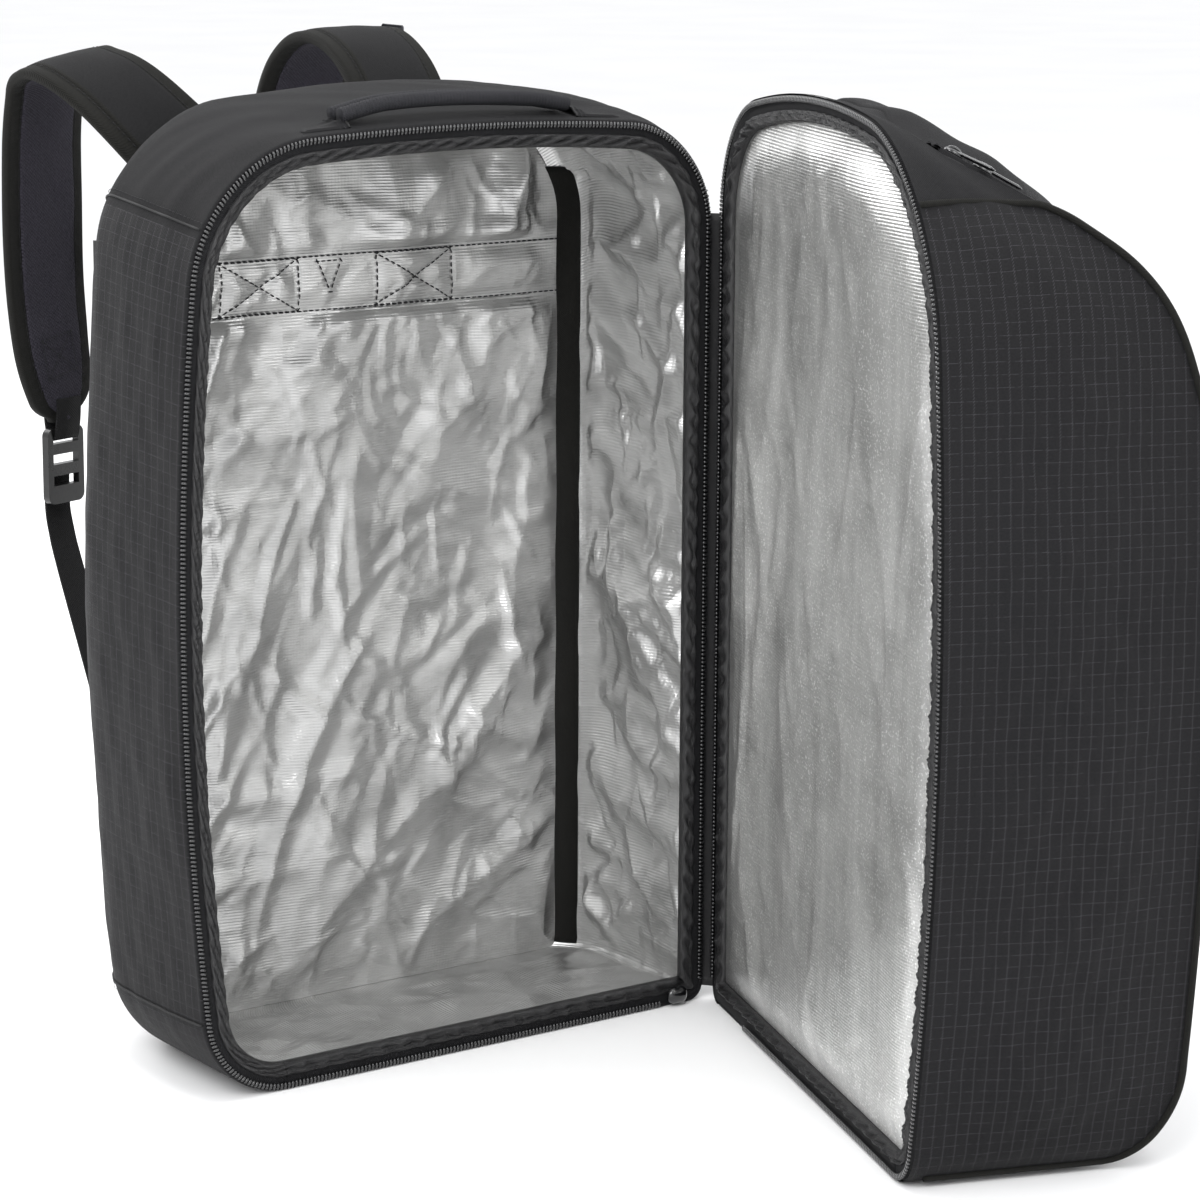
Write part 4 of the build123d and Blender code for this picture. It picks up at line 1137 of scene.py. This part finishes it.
for tag, x0, x1 in (("left", -0.100, -0.0715), ("right", 0.0775, 0.106)):
    sg = 1 if tag == "left" else -1
    xs = np.linspace(x0, x1, 30)
    C = np.column_stack([xs, np.full(30, -0.048), roof_z(xs, -0.048)])
    T, A, N = frames(C, (0, 0, 1))
    prof = []
    for x in xs:
        near_cord = (x - x0) / (x1 - x0) if tag == "left" else (x1 - x) / (x1 - x0)
        lump = 0.0034 * smooth(0.45, 1.0, near_cord)
        rise_ = 0.0007 * smooth(0.0, 0.15, near_cord)
        prof.append([(a, rise_ * (1 if abs(a) < 0.0105 else 0) - (0.0006 if abs(a) > 0.0108 else 0)
                      + lump * (math.exp(-((a - 0.0044) / 0.0036) ** 2) + math.exp(-((a + 0.0044) / 0.0036) ** 2)))
                     for a in np.linspace(-0.0112, 0.0112, 41)])
    ob = sweep("handle_tab_" + tag, C, A, N, prof, M["top"], "shell", loop=False)
    xe = x1 if tag == "left" else x0
    edge_i = -1 if tag == "left" else 0
    row = C[edge_i] + np.array(prof[edge_i])[:, :1] * A[edge_i] + np.array(prof[edge_i])[:, 1:] * N[edge_i]
    tube("handle_seam_" + tag, row, 0.00075, M["seam"], "shell", sides=8)
    for k in (3, 6):
        q = edge_i - k if tag == "left" else k
        row = C[q] + np.array(prof[q])[:, :1] * A[q] + np.array(prof[q])[:, 1:] * N[q]
        stitches("handle_tab_stitch_%s_%d" % (tag, k), row, (0, 0, 1), "shell", length=0.0022, step=0.003)
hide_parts("handle_anchors")


# ------------------------------------------------------------------ small sewn pieces on the back
def patch(name, lo_, hi_, normal_axis, mat, body, r=0.0018, seg=5):
    # rounded sewn tab that fills a box
    c = [(a + b) / 2 for a, b in zip(lo_, hi_)]
    h = [(b - a) / 2 for a, b in zip(lo_, hi_)]
    a0, a1 = [k for k in range(3) if k != normal_axis]
    corner = []
    for cx, cz, st in ((1, 1, 0), (-1, 1, 90), (-1, -1, 180), (1, -1, 270)):
        for k in range(seg + 1):
            t = math.radians(st + 90 * k / seg)
            corner.append((cx * (h[a0] - r) + r * math.cos(t), cz * (h[a1] - r) + r * math.sin(t)))
    corner = np.array(corner)
    verts, uvs, rings_ = [], [], [(0.0, 0.96), (0.4, 1.0), (0.75, 0.995), (1.0, 0.965), (1.0, 0.8), (0.86, 0.5), (0.86, 0.0)]
    m = len(corner)
    for lev, sc in rings_:
        for q in corner:
            p = [0, 0, 0]
            p[a0], p[a1] = c[a0] + q[0] * sc, c[a1] + q[1] * sc
            p[normal_axis] = c[normal_axis] - h[normal_axis] + 2 * h[normal_axis] * lev
            verts.append(p)
            uvs.append((q[0] * sc, q[1] * sc))
    faces = [(i * m + j, i * m + (j + 1) % m, (i + 1) * m + (j + 1) % m, (i + 1) * m + j) for i in range(len(rings_) - 1) for j in range(m)]
    return make(name, verts, faces, mat, body, uv=uvs)


bl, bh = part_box("strap_anchor_band")
band = patch("strap_anchor_cloth", (bl[0], bl[1] - 0.001, bl[2]), (bh[0], bh[1] + 0.0022, bh[2]), 1, M["webbing"], "shell", r=0.002)
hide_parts("strap_anchor_band")
for k, z in enumerate((bl[2] + 0.004, bh[2] - 0.004)):
    stitches("anchor_band_stitch_%d" % k, [(bl[0] + 0.004, bh[1] + 0.0022, z), (bh[0] - 0.004, bh[1] + 0.0022, z)], (0, 1, 0), "shell")
tl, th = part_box("lower_tabs")
for tag, x in (("left", -0.126), ("right", 0.122)):
    ob = patch("lower_tab_" + tag, (x - 0.016, tl[1] - 0.001, tl[2]), (x + 0.016, th[1] + 0.003, th[2]), 1, M["webbing"], "shell", r=0.003)
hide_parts("lower_tabs")
ll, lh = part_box("label_tab")
lab = patch("blank_label", ll, lh, 0, M["label"], "shell", r=0.0015)
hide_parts("label_tab")

# ------------------------------------------------------------------ pocket zip on the door roof
x_zip = WIDTH / 2 - 0.262
d_len = d_s
v_of = D[:, 0]
i28 = int(np.argmin(np.abs(D[:, 0] - 0.028) + (D[:, 1] < 0.4)))


def roof_point(along, across, high):
    # along runs down from the rim, in metres from the start of the straight run
    s0 = np.interp(0.5275, D[d_first:, 1], d_s[d_first:])
    s = s0 - along
    v, z = np.interp(s, d_s, D[:, 0]), np.interp(s, d_s, D[:, 1])
    nv, nz = np.interp(s, d_s, d_n[:, 0]), np.interp(s, d_s, d_n[:, 1])
    l = math.hypot(nv, nz)
    x = x_zip + across
    return HINGE + (WIDTH / 2 - x) * U + (v + nv / l * high) * V + (z + nz / l * high) * Z


line_s = np.linspace(-0.001, 0.1095, 90)
C = np.array([roof_point(a, 0, 0.0) for a in line_s])
Nn = np.array([roof_point(a, 0, 0.001) for a in line_s]) - C
A_ = np.array([roof_point(a, 0.001, 0.0) for a in line_s]) - C
Nn /= np.linalg.norm(Nn, axis=1)[:, None]
A_ /= np.linalg.norm(A_, axis=1)[:, None]
lift0 = 0.0035
tape = sweep("pocket_zip_tape_strip", C, A_, Nn, [(-0.012, lift0 - 0.002), (-0.010, lift0), (0, lift0 + 0.0001), (0.010, lift0), (0.012, lift0 - 0.002)],
             M["tape"], "door", loop=False)
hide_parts("pocket_zip_tape")
for tag, sg in (("left", -1), ("right", 1)):
    prof = [(sg * 0.0135, lift0 - 0.0034), (sg * 0.0125, lift0 + 0.0006), (sg * 0.008, lift0 + 0.0013), (sg * 0.0045, lift0 + 0.0016),
            (sg * 0.0024, lift0 + 0.0014), (sg * 0.0019, lift0 + 0.0008), (sg * 0.0023, lift0 + 0.0002)]
    if sg > 0:
        prof = prof[::-1]
    fl = sweep("pocket_zip_flap_" + tag, C, A_, Nn, prof, M["top"], "door", loop=False)
    ln = C + A_ * sg * 0.0058 + Nn * (lift0 + 0.0017)
    stitches("pocket_flap_stitch_" + tag, ln, tuple(Nn[30]), "door", length=0.0022, step=0.0032, radius=0.00026)
turns = np.arange(0.001, 0.107, 0.0016)
Pz = np.array([roof_point(a, 0, lift0 + 0.0004) for a in turns])
Az = np.broadcast_to(A_[0], Pz.shape)
pc = copies("pocket_zip_coil", bar(0.0034, 0.0007, 0.9), Pz, Az, np.broadcast_to(Nn[30], Pz.shape), M["coil"], "door")
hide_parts("pocket_zip_teeth")


# ------------------------------------------------------------------ sliders
def dome(name, centre, ax, ay, az, size, mat, body, power=2.2, n=22):
    # rounded slider body: superellipsoid with a waist across the middle
    cx, cy, cz = size
    verts, uvs = [], []
    for i in range(n + 1):
        ph = -PI / 2 + PI * i / n
        for k in range(n * 2):
            th = 2 * PI * k / (n * 2)
            f = lambda a: math.copysign(abs(a) ** (2 / power), a)
            x, y, z = f(math.cos(ph)) * f(math.cos(th)), f(math.cos(ph)) * f(math.sin(th)), f(math.sin(ph))
            y *= 1 - 0.16 * math.exp(-(x / 0.35) ** 2) + 0.10 * x
            verts.append(np.asarray(centre) + np.asarray(ax) * x * cx + np.asarray(ay) * y * cy + np.asarray(az) * z * cz)
            uvs.append((th * 0.003, ph * 0.003))
    m = n * 2
    faces = [(i * m + k, i * m + (k + 1) % m, (i + 1) * m + (k + 1) % m, (i + 1) * m + k) for i in range(n) for k in range(m)]
    return make(name, verts, faces, mat, body, uv=uvs)


m_lo, m_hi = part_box("main_slider")
mc = [(a + b) / 2 for a, b in zip(m_lo, m_hi)]
knob = dome("main_slider_knob", (mc[0], mc[1] - 0.0006, mc[2] + 0.0004), (1, 0, 0), (0, 0, 1), (0, 1, 0),
            ((m_hi[0] - m_lo[0]) / 2, (m_hi[2] - m_lo[2]) / 2, (m_hi[1] - m_lo[1]) / 2 + 0.0008), M["metal"], "main_slider")
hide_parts("main_slider")

for tag, along, bar_o, pull_d in (
        ("upper", 0.012, (0.120647, -0.32998, 0.528004), (0.39562, -0.84873, -0.35093)),
        ("lower", 0.030, (0.135613, -0.33525, 0.519504), (0.83143, -0.29279, -0.47222))):
    run = roof_point(along + 0.001, 0, 0) - roof_point(along, 0, 0)
    run /= np.linalg.norm(run)
    up = roof_point(along, 0, 0.001) - roof_point(along, 0, 0)
    up /= np.linalg.norm(up)
    ac = np.cross(up, run)
    sb = dome("pocket_slider_shell_" + tag, roof_point(along, 0, lift0 + 0.0024), run, ac, up, (0.0056, 0.0043, 0.0022), M["metal"],
              "pocket_slider_" + tag)
    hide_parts("pocket_slider_" + tag)
    o = np.array(bar_o)
    hoop = [o + run * x + up * h for x, h in ((-0.0042, -0.0012), (-0.0036, 0.0006), (-0.0015, 0.0016), (0.0015, 0.0016), (0.0036, 0.0006), (0.0042, -0.0012))]
    tube("pocket_slider_bridge_" + tag, spline(hoop, 5), 0.00085, M["metal"], "pocket_slider_" + tag, sides=10)
    d = np.array(pull_d)
    d /= np.linalg.norm(d)
    sd = np.cross(up, d)
    sd /= np.linalg.norm(sd)
    pn = np.cross(d, sd)
    t = np.linspace(0, 1, 30)
    Cp = o + np.multiply.outer(t * 0.0250 - 0.0008, d)
    wid = np.interp(t, [0, 0.05, 0.2, 0.5, 0.9, 0.97, 1.0], [0.6, 1.9, 1.9, 2.1, 2.5, 2.1, 0.9]) / 1000
    th_ = np.interp(t, [0, 0.05, 0.9, 1.0], [0.4, 0.95, 1.15, 0.4]) / 1000
    prof = [[(w * math.cos(a), q * math.sin(a)) for a in np.linspace(0, 2 * PI, 14, endpoint=False)] for w, q in zip(wid, th_)]
    pl = sweep("pocket_puller_" + tag, Cp, np.broadcast_to(sd, Cp.shape), np.broadcast_to(pn, Cp.shape), prof, M["metal"], "pocket_pull_" + tag)
    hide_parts("pocket_pull_" + tag)

# ------------------------------------------------------------------ carried-over hard pieces
FINISH = {"ladder_lock": "buckle", "sternum_buckle": "buckle", "sternum_slider": "buckle", "sternum_webbing": "webbing"}
shown = set(frame["nodes"])
for name, ob in frame["nodes"].items():
    for key, m in FINISH.items():
        if name.startswith(key):
            if not ob.material_slots:
                ob.data.materials.append(M[m])
            for sl in ob.material_slots:
                sl.material = M[m]

# ------------------------------------------------------------------ floor, light, camera
fm, nt, b = new_mat("studio_floor")
k = Net(nt)
k.put(b.inputs["Base Color"], k.ramp(k.noise(k.obj(), 3.0, 2.0), [(0.3, (0.92, 0.92, 0.925)), (0.7, (0.95, 0.95, 0.95))]))
b.inputs["Roughness"].default_value = 0.85
me = bpy.data.meshes.new("studio_floor")
S_ = 12.0
pts = [(-S_, -S_, 0), (S_, -S_, 0), (S_, S_, 0), (-S_, S_, 0)]
me.from_pydata(pts, [], [(0, 1, 2, 3)])
me.materials.append(fm)
floor = bpy.data.objects.new("studio_floor", me)
bpy.context.scene.collection.objects.link(floor)

world = bpy.data.worlds.new("studio")
bpy.context.scene.world = world
bpy.context.scene.view_settings.view_transform = "Standard"
world.use_nodes = True
world.node_tree.nodes["Background"].inputs[0].default_value = (0.985, 0.99, 1.0, 1)
world.node_tree.nodes["Background"].inputs[1].default_value = 1.06


def area(name, loc, target, size, power, color=(1, 1, 1)):
    l = bpy.data.lights.new(name, "AREA")
    l.shape = "RECTANGLE"
    l.size, l.size_y = size
    l.energy = power
    l.color = color
    ob = bpy.data.objects.new(name, l)
    ob.location = loc
    ob.rotation_euler = (Vector(target) - Vector(loc)).to_track_quat("-Z", "Y").to_euler()
    bpy.context.scene.collection.objects.link(ob)


area("key", (-1.9, -1.5, 2.1), (0, 0, 0.3), (1.4, 1.4), 46)
area("fill", (1.3, -2.3, 1.3), (0, 0, 0.25), (1.6, 1.6), 24)
area("top", (0.1, 0.0, 2.4), (0, 0, 0.3), (1.6, 1.6), 26)
area("rim", (-0.6, 2.0, 1.6), (0, 0, 0.35), (1.4, 1.0), 22)

cam = bpy.data.cameras.new("camera")
cam.lens = 113.7
cam.sensor_width = 36
cam.shift_x = -0.004
cam.shift_y = 0.001
cam_ob = bpy.data.objects.new("camera", cam)
cam_ob.location = (-1.1444, -1.7948, 0.7021)
cam_ob.rotation_euler = (math.radians(90 - 11.96), -0.006, math.radians(-35.53))
bpy.context.scene.collection.objects.link(cam_ob)
bpy.context.scene.camera = cam_ob
